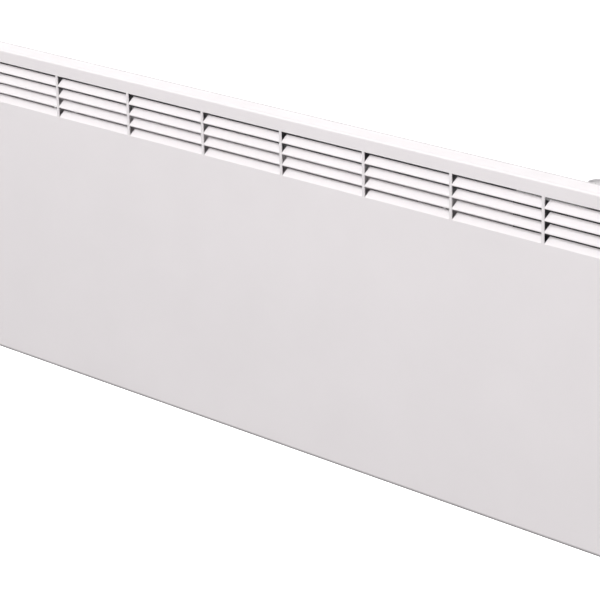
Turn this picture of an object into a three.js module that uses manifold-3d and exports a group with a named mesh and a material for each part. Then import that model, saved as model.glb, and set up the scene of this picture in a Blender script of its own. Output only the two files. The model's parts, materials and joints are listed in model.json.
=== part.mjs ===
// A low electric panel heater (convector) hanging on its wall bracket.
// Millimetres. +X is to the right of a person who faces the front, +Y goes into the wall, +Z is up.
// The wall's surface is Y = 0, and the origin is the middle of the bracket's crossbar on the wall.

import * as THREE from 'three';
import { mergeVertices } from 'three/addons/utils/BufferGeometryUtils.js';
import Module from 'manifold-3d';

// ---- driving dimensions: the whole heater ----
const LENGTH = 1275; // of the front cover, along the wall
const HEIGHT = 400; // of the front cover
const DEPTH = 88; // from the wall to the front face
const WALL_GAP = 32; // from the wall to the back of the rear panel
const SHEET = 1.2; // thickness of the front cover
const THIN = 1.0; // thickness of the rear panel and the inner sheets
const STEEL = 2.0; // thickness of the wall bracket
const BEND = 3.0; // outside radius of the cover's bends
const GAP = 0.3; // between pieces that touch
const PAST = 5; // how far a cutting solid runs past what it cuts

const HALF = LENGTH / 2;
const TOP = HEIGHT / 2;
const FRONT = -DEPTH;
const BACK = -WALL_GAP; // back face of the rear panel
const PANEL_FRONT = BACK - THIN;
const ON_PANEL = PANEL_FRONT - GAP; // where the pieces fixed to the rear panel start
const COVER_BACK = PANEL_FRONT - GAP; // rear edge of the cover's end walls

// ---- front cover ----
const RETURN_DEPTH = 27.5; // of the cover's top and bottom returns
const HEM = 5.5; // height of the folded edge behind each return
const HEM_RADIUS = 0.6; // inside the fold
const HEM_RUN = 4; // of the return that bends into the hem
const COVER_LIP = 17.5; // width of the lips that the rear panel is screwed to
const COVER_SCREW_X = HALF - 9;
const COVER_SCREW_HEIGHTS = [-150, 0, 150];

const COLUMNS = 10; // of louvres
const ROWS = 4;
const COLUMN_PITCH = 125;
const ROW_PITCH = 13.2;
const MULLION = 3.5; // upright between two columns
const STRIP = 1.5; // flat strip between two rows
const FIRST_SLOT_TOP = 183.2; // upper edge of the top row
const SLAT_RISE = 7.3; // the louvre's own height
const SLAT_REACH = 6.8; // how far the louvre leans in
const SLAT_SHEET = 0.96; // drawn thinner as it is bent
const SLAT_RADIUS = 0.8; // inside the bend at its foot
const SLAT_TAPER = 2.2; // how much each end of the louvre draws in from its foot to its tip

// ---- wall bracket, hooks and turning locks ----
const LEG_X = 300; // the bracket's legs, from the middle
const LEG_WIDTH = 36;
const LEG_TOP = 150;
const LEG_BOTTOM = -172;
const LEG_SCREW_HEIGHTS = [90, -80];
const LEG_SCREW_R = 3.5;
const CROSSBAR = { half: 20, depth: 12, slotX: 200, slotHalf: [8, 3.5] };
const HOOK_Z = 120; // where the rear panel hangs
const HOOK_NECK = 7; // height of the hook where it passes through the rear panel
const HOOK_LIP = 11; // how far the hook stands up in front of the rear panel
const LIFT = 14; // how far the heater rises off its hooks
const LOCK_Z = -148; // the turning locks' pivots
const LOCK_SHAFT_R = 3.2;
const LOCK_BOSS = { half: 12, depth: 20 };
const TONGUE = { reach: 14, half: 4.6, thickness: 4 };
const LEVER = { length: 49, half: 4, from: -26, to: -21.5, gripHalf: 5.5, gripLength: 7 };

// ---- rear panel ----
const PANEL = { half: HALF - 3.5, top: 172, bottom: -186, bend: 4 };
const PANEL_FLANGED = HALF - COVER_LIP - 2; // half of the length that has flanges
const PANEL_TOP_FLANGE = 13;
const PANEL_BOTTOM_FLANGE = 32;
const HOOK_SLOT_HALF = 4;
const LOCK_WINDOW_HALF = 7;
const INLETS = { count: 12, half: 42, reach: 4, rows: [-57, -43] };
const DEFLECTOR = { foot: 12, front: -66, top: 188, lip: 3, sheet: 0.8, clearance: 4 };
const BUMPERS = { left: -560, right: 500 };
const BUMPER_Z = -160;
const BUMPER_HOLE_R = 3.3;

// ---- heating elements ----
const ELEMENT_Y = -60;
const ELEMENT_HEIGHTS = { upper: -108, lower: -150 };
const ELEMENT_LEFT = -596; // ends of the aluminium profiles
const ELEMENT_RIGHT = 424;
const FIN = { reach: 20, root: 11, tip: 17, sheet: 1.5, radius: 2 };
const HUB_R = 7; // of the profile's bored middle
const ROD_R = 3.8;
const ROD_OVERHANG = 30; // of the rod past each end of the profile
const BUSH = { inner: ROD_R + GAP, body: 7, flange: 10, half: 5 };
const LEFT_BRACKET_X = -612;
const PARTITION_X = 438; // wall between the hot space and the control space
const PLATE = { front: -84, bottom: -183, leftTop: -70, partitionTop: 106, foot: 18 };
const PLATE_SCREW_IN = 9; // from the plate to its screws
const LEFT_BRACKET_SCREWS = [-80, -170];
const PARTITION_SCREWS = [90, -60];
const SUPPORTS = { left: -270, right: 90 };
const SUPPORT = { front: -85, top: -84, foot: 14, window: [22, 18.5] };
const LEAD_HOLE = { y: -52, z: 20, r: 8 };
const CUTOUT = { x: 380, y: -36, z: 20, r: 8, height: 8 };
const BLADE = { half: 3, thickness: 0.8, offset: 4, from: 16, to: 7 };
const CLIP = { half: [22, 9], armHalf: 5, armHeight: 8, armSheet: 1.3 };

// ---- control housing and what it holds ----
const CONTROL = { left: 452, right: 612, front: -78, back: -35.4, bottom: 100, top: 176 };
const CONTROL_WALL = 2;
const CONTROL_SCREW = { in: 18, z: 112, bossR: 5, bossLength: 8, holeR: 1.9 };
const LID_INSET = 0.5;
const DIAL = { x: 537.6, y: -46, r: 11, top: 196.4, flutes: 18, flute: 0.6, rim: 2, dish: 2.2 };
const SHAFT_R = 2.9;
const SHAFT_HOLE_R = 3.2;
const POT = { half: 8, height: 9, noseR: 3.9, noseTop: 16.5, seat: 4 };
const ROCKER = { x: 484, y: -48.5, length: 19, width: 11, play: 0.5 };
const ROCKER_TILT = 9; // degrees to each side of level
const ROCKER_PIVOT_Z = CONTROL.top - 3;
const SWITCH = { rimX: 4, rimY: 3.5, rimHeight: 2, wall: 1.2, depth: 14, floor: 4 };
const INDICATOR_X = 514;
const INDICATOR_R = 2.5;
const BOARD = { z: 150, thickness: 1.6, inset: CONTROL_WALL + 1 };
const ON_BOARD = BOARD.z + BOARD.thickness + GAP;
const RELAY = { x: [582, 602], y: [-72, -56], height: 15 };
const BOARD_LEADS_X = 490;
const SUPPLY_LEADS_X = 556;
const BOARD_LEADS_Y = -60;
const LEAD_ENTRY_R = 6;

// ---- connections and the room sensor ----
const TERMINAL = { x: 556, z: -70, half: [20, 9], depth: 17, ways: 3, pitch: 12, wireR: 2, screwR: 2.6 };
const TERMINAL_WIRE_Y = ON_PANEL - 9;
const GLAND = { x: 556, z: -120, r: 8, bore: 4.5, inside: 12, outside: 16, flange: 12 };
const GLAND_NUT = { r: 13, height: 6 };
const EARTH = { x: 600, z: -78, studR: 2.4, studLength: 8, tagR: 6 };
const SENSOR = { x: 596, y: -66, z: -172, half: 9, r: 2.8 };
const SENSOR_CLIP = { inner: 3.1, outer: 4.6, half: 4, stem: 14, floor: -184.4, stemTop: -183 };
const LEAD_R = 1.4;

const wasm = await Module();
wasm.setup();

// ---- solids ----

function solidOf(geometry) {
  const plain = geometry.index ? geometry.toNonIndexed() : geometry.clone();
  plain.deleteAttribute('normal');
  plain.deleteAttribute('uv');
  const merged = mergeVertices(plain, 1e-4);
  const mesh = new wasm.Mesh({
    numProp: 3,
    vertProperties: merged.attributes.position.array,
    triVerts: new Uint32Array(merged.index.array),
  });
  return new wasm.Manifold(mesh);
}

function geometryOf(solid) {
  const mesh = solid.getMesh();
  const geometry = new THREE.BufferGeometry();
  geometry.setAttribute('position', new THREE.BufferAttribute(mesh.vertProperties, 3));
  geometry.setIndex(new THREE.BufferAttribute(mesh.triVerts, 1));
  return geometry;
}

function joined(solids) {
  return solids.reduce((whole, solid) => whole.add(solid));
}

function block([x0, x1], [y0, y1], [z0, z1]) {
  const box = new THREE.BoxGeometry(x1 - x0, y1 - y0, z1 - z0);
  return solidOf(box.translate((x0 + x1) / 2, (y0 + y1) / 2, (z0 + z1) / 2));
}

// The three ways to draw an outline and push it along an axis.
const ALONG = {
  // outline in (Y, Z)
  x: new THREE.Matrix4().makeBasis(
    new THREE.Vector3(0, 1, 0),
    new THREE.Vector3(0, 0, 1),
    new THREE.Vector3(1, 0, 0),
  ),
  // outline in (Z, X)
  y: new THREE.Matrix4().makeBasis(
    new THREE.Vector3(0, 0, 1),
    new THREE.Vector3(1, 0, 0),
    new THREE.Vector3(0, 1, 0),
  ),
  // outline in (X, Y)
  z: new THREE.Matrix4(),
};

function prism(axis, outline, from, to) {
  const shape = outline instanceof THREE.Shape ? outline : new THREE.Shape(outline);
  const options = { depth: to - from, bevelEnabled: false, curveSegments: 12 };
  const geometry = new THREE.ExtrudeGeometry(shape, options).translate(0, 0, from);
  return solidOf(geometry.applyMatrix4(ALONG[axis]));
}

// A solid of revolution about an axis through `centre`; the profile is [radius, distance along].
function turned(axis, profile, centre, segments = 16) {
  const points = profile.map(([r, along]) => new THREE.Vector2(r, along));
  const geometry = new THREE.LatheGeometry(points, segments);
  if (axis === 'x') geometry.rotateZ(-Math.PI / 2);
  if (axis === 'z') geometry.rotateX(Math.PI / 2);
  return solidOf(geometry.translate(...centre));
}

function rod(axis, r, from, to, centre, segments = 16) {
  return turned(axis, [[0, from], [r, from], [r, to], [0, to]], centre, segments);
}

function ring(axis, inner, outer, from, to, centre, segments = 16) {
  const profile = [[inner, from], [outer, from], [outer, to], [inner, to], [inner, from]];
  return turned(axis, profile, centre, segments);
}

// Rounds each inner corner of a path, with one radius for left turns and one for right turns.
function rounded(corners, leftRadius, rightRadius, steps) {
  const points = [];
  corners.forEach((corner, i) => {
    if (i === 0 || i === corners.length - 1) {
      points.push(corner);
      return;
    }
    const before = corner.clone().sub(corners[i - 1]).normalize();
    const after = corners[i + 1].clone().sub(corner).normalize();
    const turn = Math.atan2(before.cross(after), before.dot(after));
    const radius = turn > 0 ? leftRadius : rightRadius;
    const side = Math.sign(turn);
    const start = corner.clone().addScaledVector(before, -radius * Math.tan(Math.abs(turn) / 2));
    const normal = new THREE.Vector2(-before.y, before.x).multiplyScalar(side);
    const centre = start.clone().addScaledVector(normal, radius);
    for (let k = 0; k <= steps; k++) {
      points.push(start.clone().rotateAround(centre, (turn * k) / steps));
    }
  });
  return points;
}

// The outline of a sheet folded along a path. The path is one face of the sheet, which lies on its left.
function foldedSheet(path, thickness, insideRadius, steps = 4) {
  const corners = path.map(([u, v]) => new THREE.Vector2(u, v));
  const last = corners.length - 1;
  const normals = corners.slice(1).map((corner, i) => {
    const along = corner.clone().sub(corners[i]).normalize();
    return new THREE.Vector2(-along.y, along.x);
  });
  const offset = corners.map((corner, i) => {
    const a = normals[Math.max(i - 1, 0)];
    const b = normals[Math.min(i, last - 1)];
    const shift = a.clone().add(b).multiplyScalar(thickness / (1 + a.dot(b)));
    return corner.clone().add(shift);
  });
  const outside = insideRadius + thickness;
  const face = rounded(corners, outside, insideRadius, steps);
  const other = rounded(offset, insideRadius, outside, steps);
  return [...face, ...other.reverse()];
}

// A box outline in (u, v) whose corners at the low u side are rounded.
function frontRounded(u0, u1, v0, v1, radius) {
  const shape = new THREE.Shape();
  shape.moveTo(u1, v0);
  shape.lineTo(u1, v1);
  shape.lineTo(u0 + radius, v1);
  shape.absarc(u0 + radius, v1 - radius, radius, Math.PI / 2, Math.PI, false);
  shape.absarc(u0 + radius, v0 + radius, radius, Math.PI, Math.PI * 1.5, false);
  shape.closePath();
  return shape;
}

// A box outline in (u, v) whose corners at the low v side are rounded.
function undersideRounded(u0, u1, v0, v1, radius) {
  const shape = new THREE.Shape();
  shape.moveTo(u0 + radius, v0);
  shape.absarc(u1 - radius, v0 + radius, radius, -Math.PI / 2, 0, false);
  shape.lineTo(u1, v1);
  shape.lineTo(u0, v1);
  shape.absarc(u0 + radius, v0 + radius, radius, Math.PI, Math.PI * 1.5, false);
  shape.closePath();
  return shape;
}

// A tube through the given points.
function wire(points) {
  const sides = 8;
  const steps = 18;
  const section = [];
  for (let i = 0; i < sides; i++) {
    const angle = (2 * Math.PI * i) / sides;
    section.push(new THREE.Vector2(LEAD_R * Math.cos(angle), LEAD_R * Math.sin(angle)));
  }
  const places = points.map((point) => new THREE.Vector3(...point));
  const route = new THREE.CatmullRomCurve3(places, false, 'centripetal');
  const options = { steps, extrudePath: route };
  return solidOf(new THREE.ExtrudeGeometry(new THREE.Shape(section), options));
}

// ---- materials ----

function material(color, roughness, metalness = 0) {
  return new THREE.MeshStandardMaterial({ color, roughness, metalness });
}

const WHITE_PAINT = material(0xeceaea, 0.45);
const GALVANISED = material(0xb6babd, 0.5, 0.9);
const ALUMINIUM = material(0xc9cbcd, 0.35, 1);
const STAINLESS = material(0x8e8f90, 0.35, 1);
const CERAMIC = material(0xe8dfcd, 0.6);
const WHITE_PLASTIC = material(0xe2e1e1, 0.4);
const GREY_PLASTIC = material(0xc4c4c5, 0.5);
const BLACK_PLASTIC = material(0x1f2022, 0.45);
const CIRCUIT_BOARD = material(0x1e5a3a, 0.5);
const LENS = material(0xd8471f, 0.15);
const RUBBER = material(0x2b2b2c, 0.85);
const ZINC_SCREW = material(0xa9acb0, 0.35, 1);
const LEAD_COLOURS = {
  brown: material(0x5f3a22, 0.5),
  blue: material(0x2c55a0, 0.5),
  white: material(0xdad6cd, 0.55),
  green: material(0x5f8f2f, 0.5),
  black: material(0x26262a, 0.5),
};

const heater = new THREE.Group();

function addPart(name, solid, look) {
  const mesh = new THREE.Mesh(geometryOf(solid), look);
  mesh.name = name;
  heater.add(mesh);
}

// The hole along Y that a screw from the wall side goes through.
function screwHole(x, z) {
  return rod('y', 2.2, COVER_BACK - PAST, BACK + PAST, [x, 0, z], 12);
}

// ---- front cover ----

// A closed-ended pan: top, bottom, front and both ends, all with bent front edges.
function coverPan(inset) {
  const radius = BEND - inset;
  const back = COVER_BACK + (inset ? PAST : 0);
  const front = FRONT + inset;
  const top = TOP - inset;
  const half = HALF - inset;
  const side = prism('x', frontRounded(front, back, -top, top, radius), -half, half);
  const plan = prism('z', undersideRounded(-half, half, front, back, radius), -top, top);
  return side.intersect(plan);
}

function slotTop(row) {
  return FIRST_SLOT_TOP - row * ROW_PITCH;
}

function columnLeft(column) {
  return (column - COLUMNS / 2) * COLUMN_PITCH + MULLION / 2;
}

// What is cut off one end (side = -1 or 1) of a louvre whose foot is at X = end.
function slatTaper(side, end, bottom) {
  const foot = bottom + SLAT_RADIUS / 2;
  const tip = bottom + SLAT_RISE + SLAT_SHEET;
  const outline = [[foot, end + side], [foot, end], [tip, end - side * SLAT_TAPER], [tip, end + side]];
  const points = outline.map(([z, x]) => new THREE.Vector2(z, x));
  return prism('y', side > 0 ? points : points.reverse(), FRONT + SHEET, FRONT + SLAT_REACH + 2);
}

function louvres() {
  const slots = [];
  const slats = [];
  const tapers = [];
  const length = COLUMN_PITCH - MULLION;
  for (let row = 0; row < ROWS; row++) {
    const top = slotTop(row);
    const bottom = top - ROW_PITCH + STRIP;
    const slat = foldedSheet(
      [[FRONT + SLAT_REACH, bottom + SLAT_RISE], [FRONT, bottom], [FRONT, bottom - STRIP / 2]],
      SLAT_SHEET,
      SLAT_RADIUS,
      3,
    );
    for (let column = 0; column < COLUMNS; column++) {
      const left = columnLeft(column);
      slots.push(block([left, left + length], [FRONT - PAST, FRONT + SHEET + 1], [bottom, top]));
      const [start, end] = [left + GAP, left + length - GAP];
      slats.push(prism('x', slat, start, end));
      tapers.push(slatTaper(-1, start, bottom), slatTaper(1, end, bottom));
    }
  }
  return { slots: joined(slots), slats: joined(slats).subtract(joined(tapers)) };
}

// The folded rear edge of the top (side = 1) or bottom (side = -1) return.
function returnHem(side) {
  const rear = FRONT + RETURN_DEPTH;
  const path = [[rear, side * (TOP - HEM)], [rear, side * TOP], [rear - HEM_RUN, side * TOP]];
  const outline = foldedSheet(side > 0 ? path : path.reverse(), SHEET, HEM_RADIUS, 3);
  return prism('x', outline, -HALF + COVER_LIP, HALF - COVER_LIP);
}

function frontCover() {
  const { slots, slats } = louvres();
  let cover = coverPan(0).subtract(coverPan(SHEET));
  const middle = [-HALF + COVER_LIP, HALF - COVER_LIP];
  const behindReturn = [FRONT + RETURN_DEPTH - HEM_RUN + 1, 0];
  cover = cover.subtract(block(middle, behindReturn, [TOP - PAST, TOP + PAST]));
  cover = cover.subtract(block(middle, behindReturn, [-TOP - PAST, -TOP + PAST]));
  cover = cover.add(returnHem(1)).add(returnHem(-1));
  for (const side of [-1, 1]) {
    const outer = side * (HALF - SHEET / 2);
    const inner = side * (HALF - COVER_LIP);
    const span = [Math.min(outer, inner), Math.max(outer, inner)];
    let lip = block(span, [COVER_BACK - SHEET, COVER_BACK], [-TOP + SHEET / 2, TOP - SHEET / 2]);
    for (const z of COVER_SCREW_HEIGHTS) {
      lip = lip.subtract(screwHole(side * COVER_SCREW_X, z));
    }
    cover = cover.add(lip);
  }
  return cover.subtract(slots).add(slats);
}

// ---- rear panel ----

const BACK_SCREWS = [
  ...COVER_SCREW_HEIGHTS.map((z) => ({ name: 'left_cover_screw', x: -COVER_SCREW_X, z })),
  ...COVER_SCREW_HEIGHTS.map((z) => ({ name: 'right_cover_screw', x: COVER_SCREW_X, z })),
  ...LEFT_BRACKET_SCREWS.map((z) => ({
    name: 'element_bracket_screw',
    x: LEFT_BRACKET_X + PLATE_SCREW_IN,
    z,
  })),
  ...PARTITION_SCREWS.map((z) => ({ name: 'partition_screw', x: PARTITION_X - PLATE_SCREW_IN, z })),
  { name: 'control_housing_screw', x: CONTROL.left + CONTROL_SCREW.in, z: CONTROL_SCREW.z },
  { name: 'control_housing_screw', x: CONTROL.right - CONTROL_SCREW.in, z: CONTROL_SCREW.z },
];

// The openings for the bracket's hooks and for the turning locks; they leave room for the lift.
function bracketOpenings() {
  const through = [PANEL_FRONT - PAST, BACK + PAST];
  const hookSlot = [HOOK_Z - HOOK_NECK - LIFT - 1, HOOK_Z + GAP];
  const lockWindow = [LOCK_Z - TONGUE.reach - LIFT - 2, LOCK_Z + TONGUE.reach + 2];
  const openings = [];
  for (const side of [-1, 1]) {
    const lock = side * LEG_X;
    for (const flange of [-1, 1]) {
      const x = lock + flange * (LEG_WIDTH / 2 - STEEL / 2);
      openings.push(block([x - HOOK_SLOT_HALF, x + HOOK_SLOT_HALF], through, hookSlot));
    }
    openings.push(block([lock - LOCK_WINDOW_HALF, lock + LOCK_WINDOW_HALF], through, lockWindow));
  }
  return openings;
}

// Two rows of air inlets in the bottom flange.
function inletSlots() {
  const slots = [];
  const pitch = (2 * PANEL_FLANGED) / INLETS.count;
  for (let i = 0; i < INLETS.count; i++) {
    const middle = -PANEL_FLANGED + (i + 0.5) * pitch;
    for (const y of INLETS.rows) {
      slots.push(
        block(
          [middle - INLETS.half, middle + INLETS.half],
          [y - INLETS.reach, y + INLETS.reach],
          [PANEL.bottom - PAST, PANEL.bottom + THIN + 1],
        ),
      );
    }
  }
  return slots;
}

function rearPanel() {
  const bottomPath = [[BACK - PANEL_BOTTOM_FLANGE, PANEL.bottom], [BACK, PANEL.bottom]];
  const topPath = [[BACK, PANEL.top], [BACK - PANEL_TOP_FLANGE, PANEL.top]];
  const pan = foldedSheet([...bottomPath, ...topPath], THIN, 1, 3);
  const wall = [PANEL.bottom + PANEL.bend, PANEL.top - PANEL.bend];
  let panel = prism('x', pan, -PANEL_FLANGED, PANEL_FLANGED);
  panel = panel.add(block([-PANEL.half, PANEL.half], [PANEL_FRONT, BACK], wall));
  // the top flange stops short of the control housing
  const beside = [CONTROL.left - 8, HALF];
  const flange = [BACK - PANEL_TOP_FLANGE - PAST, PANEL_FRONT];
  panel = panel.subtract(block(beside, flange, [PANEL.top - PANEL.bend, PANEL.top + 1]));
  const holes = [
    ...bracketOpenings(),
    ...inletSlots(),
    ...BACK_SCREWS.map(({ x, z }) => screwHole(x, z)),
    rod('y', GLAND.r + GAP, PANEL_FRONT - PAST, BACK + PAST, [GLAND.x, 0, GLAND.z]),
  ];
  for (const x of Object.values(BUMPERS)) {
    holes.push(rod('y', BUMPER_HOLE_R, PANEL_FRONT - PAST, BACK + PAST, [x, 0, BUMPER_Z], 12));
  }
  return panel.subtract(joined(holes));
}

// A sheet that turns the rising warm air out through the louvres.
function airDeflector() {
  const foot = HOOK_Z + HOOK_LIP + DEFLECTOR.clearance; // above the hooks' tips
  const path = [
    [COVER_BACK, foot],
    [COVER_BACK, foot + DEFLECTOR.foot],
    [DEFLECTOR.front, DEFLECTOR.top],
    [DEFLECTOR.front, DEFLECTOR.top + DEFLECTOR.lip],
  ];
  const outline = foldedSheet(path, DEFLECTOR.sheet, 1, 3);
  return prism('x', outline, LEFT_BRACKET_X + 2, PARTITION_X - 4);
}

// ---- heating elements and what holds them ----

// An extruded profile: four fins with turned tips around a bored hub.
function elementProfile(z) {
  const wing = (mirror) => {
    const { reach, root, tip, sheet, radius } = FIN;
    const path = [[-reach, -tip], [-reach, -root], [reach, root], [reach, tip]];
    const moved = path.map(([y, dz]) => [ELEMENT_Y + y, z + dz * mirror]);
    return prism('x', foldedSheet(moved, sheet, radius, 2), ELEMENT_LEFT, ELEMENT_RIGHT);
  };
  const middle = (ELEMENT_LEFT + ELEMENT_RIGHT) / 2;
  const half = (ELEMENT_RIGHT - ELEMENT_LEFT) / 2;
  const hub = rod('x', HUB_R, -half, half, [middle, ELEMENT_Y, z]);
  const bore = rod('x', ROD_R + GAP, -half - PAST, half + PAST, [middle, ELEMENT_Y, z]);
  return wing(1).add(wing(-1)).add(hub).subtract(bore);
}

function elementRod(z) {
  const middle = (ELEMENT_LEFT + ELEMENT_RIGHT) / 2;
  const reach = (ELEMENT_RIGHT - ELEMENT_LEFT) / 2 + ROD_OVERHANG;
  return rod('x', ROD_R, -reach, reach, [middle, ELEMENT_Y, z]);
}

function elementBush(x, z) {
  const shoulder = THIN / 2 + GAP;
  const profile = [
    [BUSH.inner, -BUSH.half],
    [BUSH.body, -BUSH.half],
    [BUSH.body, shoulder],
    [BUSH.flange, shoulder],
    [BUSH.flange, BUSH.half],
    [BUSH.inner, BUSH.half],
    [BUSH.inner, -BUSH.half],
  ];
  return turned('x', profile, [x, ELEMENT_Y, z]);
}

// A plate across the heater with a foot along the rear panel, holed for the element bushes.
function crossPlate(x, top, foot, screwHeights) {
  const heights = [PLATE.bottom, top];
  let plate = block([x - THIN / 2, x + THIN / 2], [PLATE.front, ON_PANEL], heights);
  const feet = [Math.min(x, x + foot), Math.max(x, x + foot)];
  plate = plate.add(block(feet, [ON_PANEL - THIN, ON_PANEL], heights));
  for (const z of Object.values(ELEMENT_HEIGHTS)) {
    plate = plate.subtract(rod('x', BUSH.body + GAP, -PAST, PAST, [x, ELEMENT_Y, z]));
  }
  for (const z of screwHeights) {
    plate = plate.subtract(screwHole(x + Math.sign(foot) * PLATE_SCREW_IN, z));
  }
  return plate;
}

function leftElementBracket() {
  return crossPlate(LEFT_BRACKET_X, PLATE.leftTop, PLATE.foot, LEFT_BRACKET_SCREWS);
}

function controlPartition() {
  const plate = crossPlate(PARTITION_X, PLATE.partitionTop, -PLATE.foot, PARTITION_SCREWS);
  const { y, z, r } = LEAD_HOLE;
  return plate.subtract(rod('x', r, -PAST, PAST, [PARTITION_X, y, z]));
}

// A plate halfway along that both aluminium profiles slide through when they grow with heat.
function elementSupport(x) {
  const heights = [PLATE.bottom, SUPPORT.top];
  const [windowY, windowZ] = SUPPORT.window;
  let plate = block([x - THIN / 2, x + THIN / 2], [SUPPORT.front, ON_PANEL], heights);
  plate = plate.add(block([x, x + SUPPORT.foot], [ON_PANEL - THIN, ON_PANEL], heights));
  for (const z of Object.values(ELEMENT_HEIGHTS)) {
    plate = plate.subtract(
      block(
        [x - PAST, x + PAST],
        [ELEMENT_Y - windowY, ELEMENT_Y + windowY],
        [z - windowZ, z + windowZ],
      ),
    );
  }
  return plate;
}

// A bimetal thermostat that opens the circuit when the heater is covered.
function thermalCutout() {
  const { x, y, z, r, height } = CUTOUT;
  const body = rod('y', r, -height, 0, [x, y, z], 20);
  const blades = [-BLADE.offset, BLADE.offset].map((offset) =>
    block(
      [x - BLADE.half, x + BLADE.half],
      [y - BLADE.from, y - BLADE.to],
      [z + offset - BLADE.thickness / 2, z + offset + BLADE.thickness / 2],
    ),
  );
  return joined([body, ...blades]);
}

function cutoutClip() {
  const [halfX, halfZ] = CLIP.half;
  const { x, z, r } = CUTOUT;
  const base = block([x - halfX, x + halfX], [ON_PANEL - THIN, ON_PANEL], [z - halfZ, z + halfZ]);
  const arms = [-1, 1].map((side) => {
    const inner = x + side * (r + GAP);
    const outer = inner + side * CLIP.armSheet;
    return block(
      [Math.min(inner, outer), Math.max(inner, outer)],
      [ON_PANEL - CLIP.armHeight, ON_PANEL],
      [z - CLIP.armHalf, z + CLIP.armHalf],
    );
  });
  return joined([base, ...arms]);
}

// ---- control housing and what it holds ----

function controlHousing() {
  const { left, right, front, back, bottom, top } = CONTROL;
  const inside = block(
    [left + CONTROL_WALL, right - CONTROL_WALL],
    [front + CONTROL_WALL, back + PAST],
    [bottom + CONTROL_WALL, top - CONTROL_WALL],
  );
  const shell = block([left, right], [front, back], [bottom, top]).subtract(inside);
  const switchX = ROCKER.length / 2 + 2;
  const switchY = ROCKER.width / 2 + 1.5;
  const holes = [
    rod('z', POT.noseR + GAP, -PAST, PAST, [DIAL.x, DIAL.y, top], 20),
    rod('z', INDICATOR_R + GAP, -PAST, PAST, [INDICATOR_X, ROCKER.y, top]),
    block(
      [ROCKER.x - switchX, ROCKER.x + switchX],
      [ROCKER.y - switchY, ROCKER.y + switchY],
      [top - PAST, top + PAST],
    ),
    rod('z', LEAD_ENTRY_R, -PAST, PAST, [BOARD_LEADS_X, BOARD_LEADS_Y, bottom], 20),
    rod('z', LEAD_ENTRY_R, -PAST, PAST, [SUPPLY_LEADS_X, BOARD_LEADS_Y, bottom], 20),
  ];
  return shell.subtract(joined(holes));
}

// The flat lid that closes the housing's rear, with two bosses that the housing screws bite into.
function controlLid() {
  const { left, right, back, bottom, top } = CONTROL;
  const { bossR, bossLength, holeR, z } = CONTROL_SCREW;
  const lid = block(
    [left + LID_INSET, right - LID_INSET],
    [back + GAP, ON_PANEL],
    [bottom + LID_INSET, top - LID_INSET],
  );
  const screws = [left + CONTROL_SCREW.in, right - CONTROL_SCREW.in];
  const bosses = screws.map((x) => rod('y', bossR, -bossLength, GAP, [x, back + GAP, z]));
  const holes = screws.map((x) => rod('y', holeR, back - 2 * bossLength, 0, [x, 0, z], 12));
  return joined([lid, ...bosses]).subtract(joined(holes));
}

function controlBoard() {
  return block(
    [CONTROL.left + BOARD.inset, CONTROL.right - BOARD.inset],
    [CONTROL.front + BOARD.inset, CONTROL.back - 2],
    [BOARD.z, BOARD.z + BOARD.thickness],
  );
}

function potentiometer() {
  const { x, y } = DIAL;
  const can = block([x - POT.half, x + POT.half], [y - POT.half, y + POT.half], [0, POT.height]);
  const nose = rod('z', POT.noseR, POT.height - GAP, POT.noseTop, [x, y, 0], 20);
  const seat = rod('z', SHAFT_HOLE_R, POT.seat, POT.noseTop + PAST, [x, y, 0], 20);
  return can.add(nose).subtract(seat).translate([0, 0, ON_BOARD]);
}

function dialShaft() {
  const { x, y, top } = DIAL;
  const bottom = ON_BOARD + POT.seat + GAP;
  const shaft = rod('z', SHAFT_R, bottom, top - 4, [x, y, 0], 20);
  const flat = block([x + 1.6, x + SHAFT_R + 1], [y - PAST, y + PAST], [CONTROL.top + 3, top]);
  return shaft.subtract(flat);
}

// The thermostat's dial: a fluted knob with a sunk top and a pointer ridge in it.
function thermostatDial() {
  const { x, y, r, top, flutes, flute, rim, dish } = DIAL;
  const bottom = CONTROL.top + 2 * GAP;
  const height = top - bottom;
  const outline = [];
  for (let i = 0; i < flutes * 2; i++) {
    const angle = (Math.PI * i) / flutes;
    const radius = i % 2 ? r : r - flute;
    outline.push(new THREE.Vector2(x + radius * Math.cos(angle), y + radius * Math.sin(angle)));
  }
  const cap = [[0, 0], [r, 0], [r, height - 0.8], [r - 0.5, height], [0, height]];
  const body = prism('z', outline, bottom, top).intersect(turned('z', cap, [x, y, bottom], 36));
  const sunk = rod('z', r - rim, height - dish, height + 1, [x, y, bottom], 36);
  const ridge = block([x - 0.8, x + 0.8], [y - r + rim - GAP, y - 3], [top - dish - 1, top - 0.8]);
  const inside = height - dish - 1.5; // leaves a web under the sunk top
  const hollow = ring('z', 5.5, r - 2.5, -1, inside, [x, y, bottom], 36);
  const socket = rod('z', SHAFT_HOLE_R, -1, inside + 0.1, [x, y, bottom], 20);
  return body.subtract(sunk).add(ridge).subtract(hollow).subtract(socket);
}

// A box around the rocker's outline that is wider by the given margins.
function aroundRocker(marginX, marginY, heights) {
  const halfX = ROCKER.length / 2 + marginX;
  const halfY = ROCKER.width / 2 + marginY;
  return block([ROCKER.x - halfX, ROCKER.x + halfX], [ROCKER.y - halfY, ROCKER.y + halfY], heights);
}

function switchFrame() {
  const top = CONTROL.top;
  const { play } = ROCKER;
  const { rimX, rimY, rimHeight, wall, depth, floor } = SWITCH;
  const rim = aroundRocker(rimX, rimY, [top + GAP, top + rimHeight]);
  const well = aroundRocker(play + wall, wall, [top - depth, top + 1]);
  const hollow = aroundRocker(play, play - 0.1, [top - depth + floor, top + rimHeight + 1]);
  return rim.add(well).subtract(hollow);
}

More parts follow.
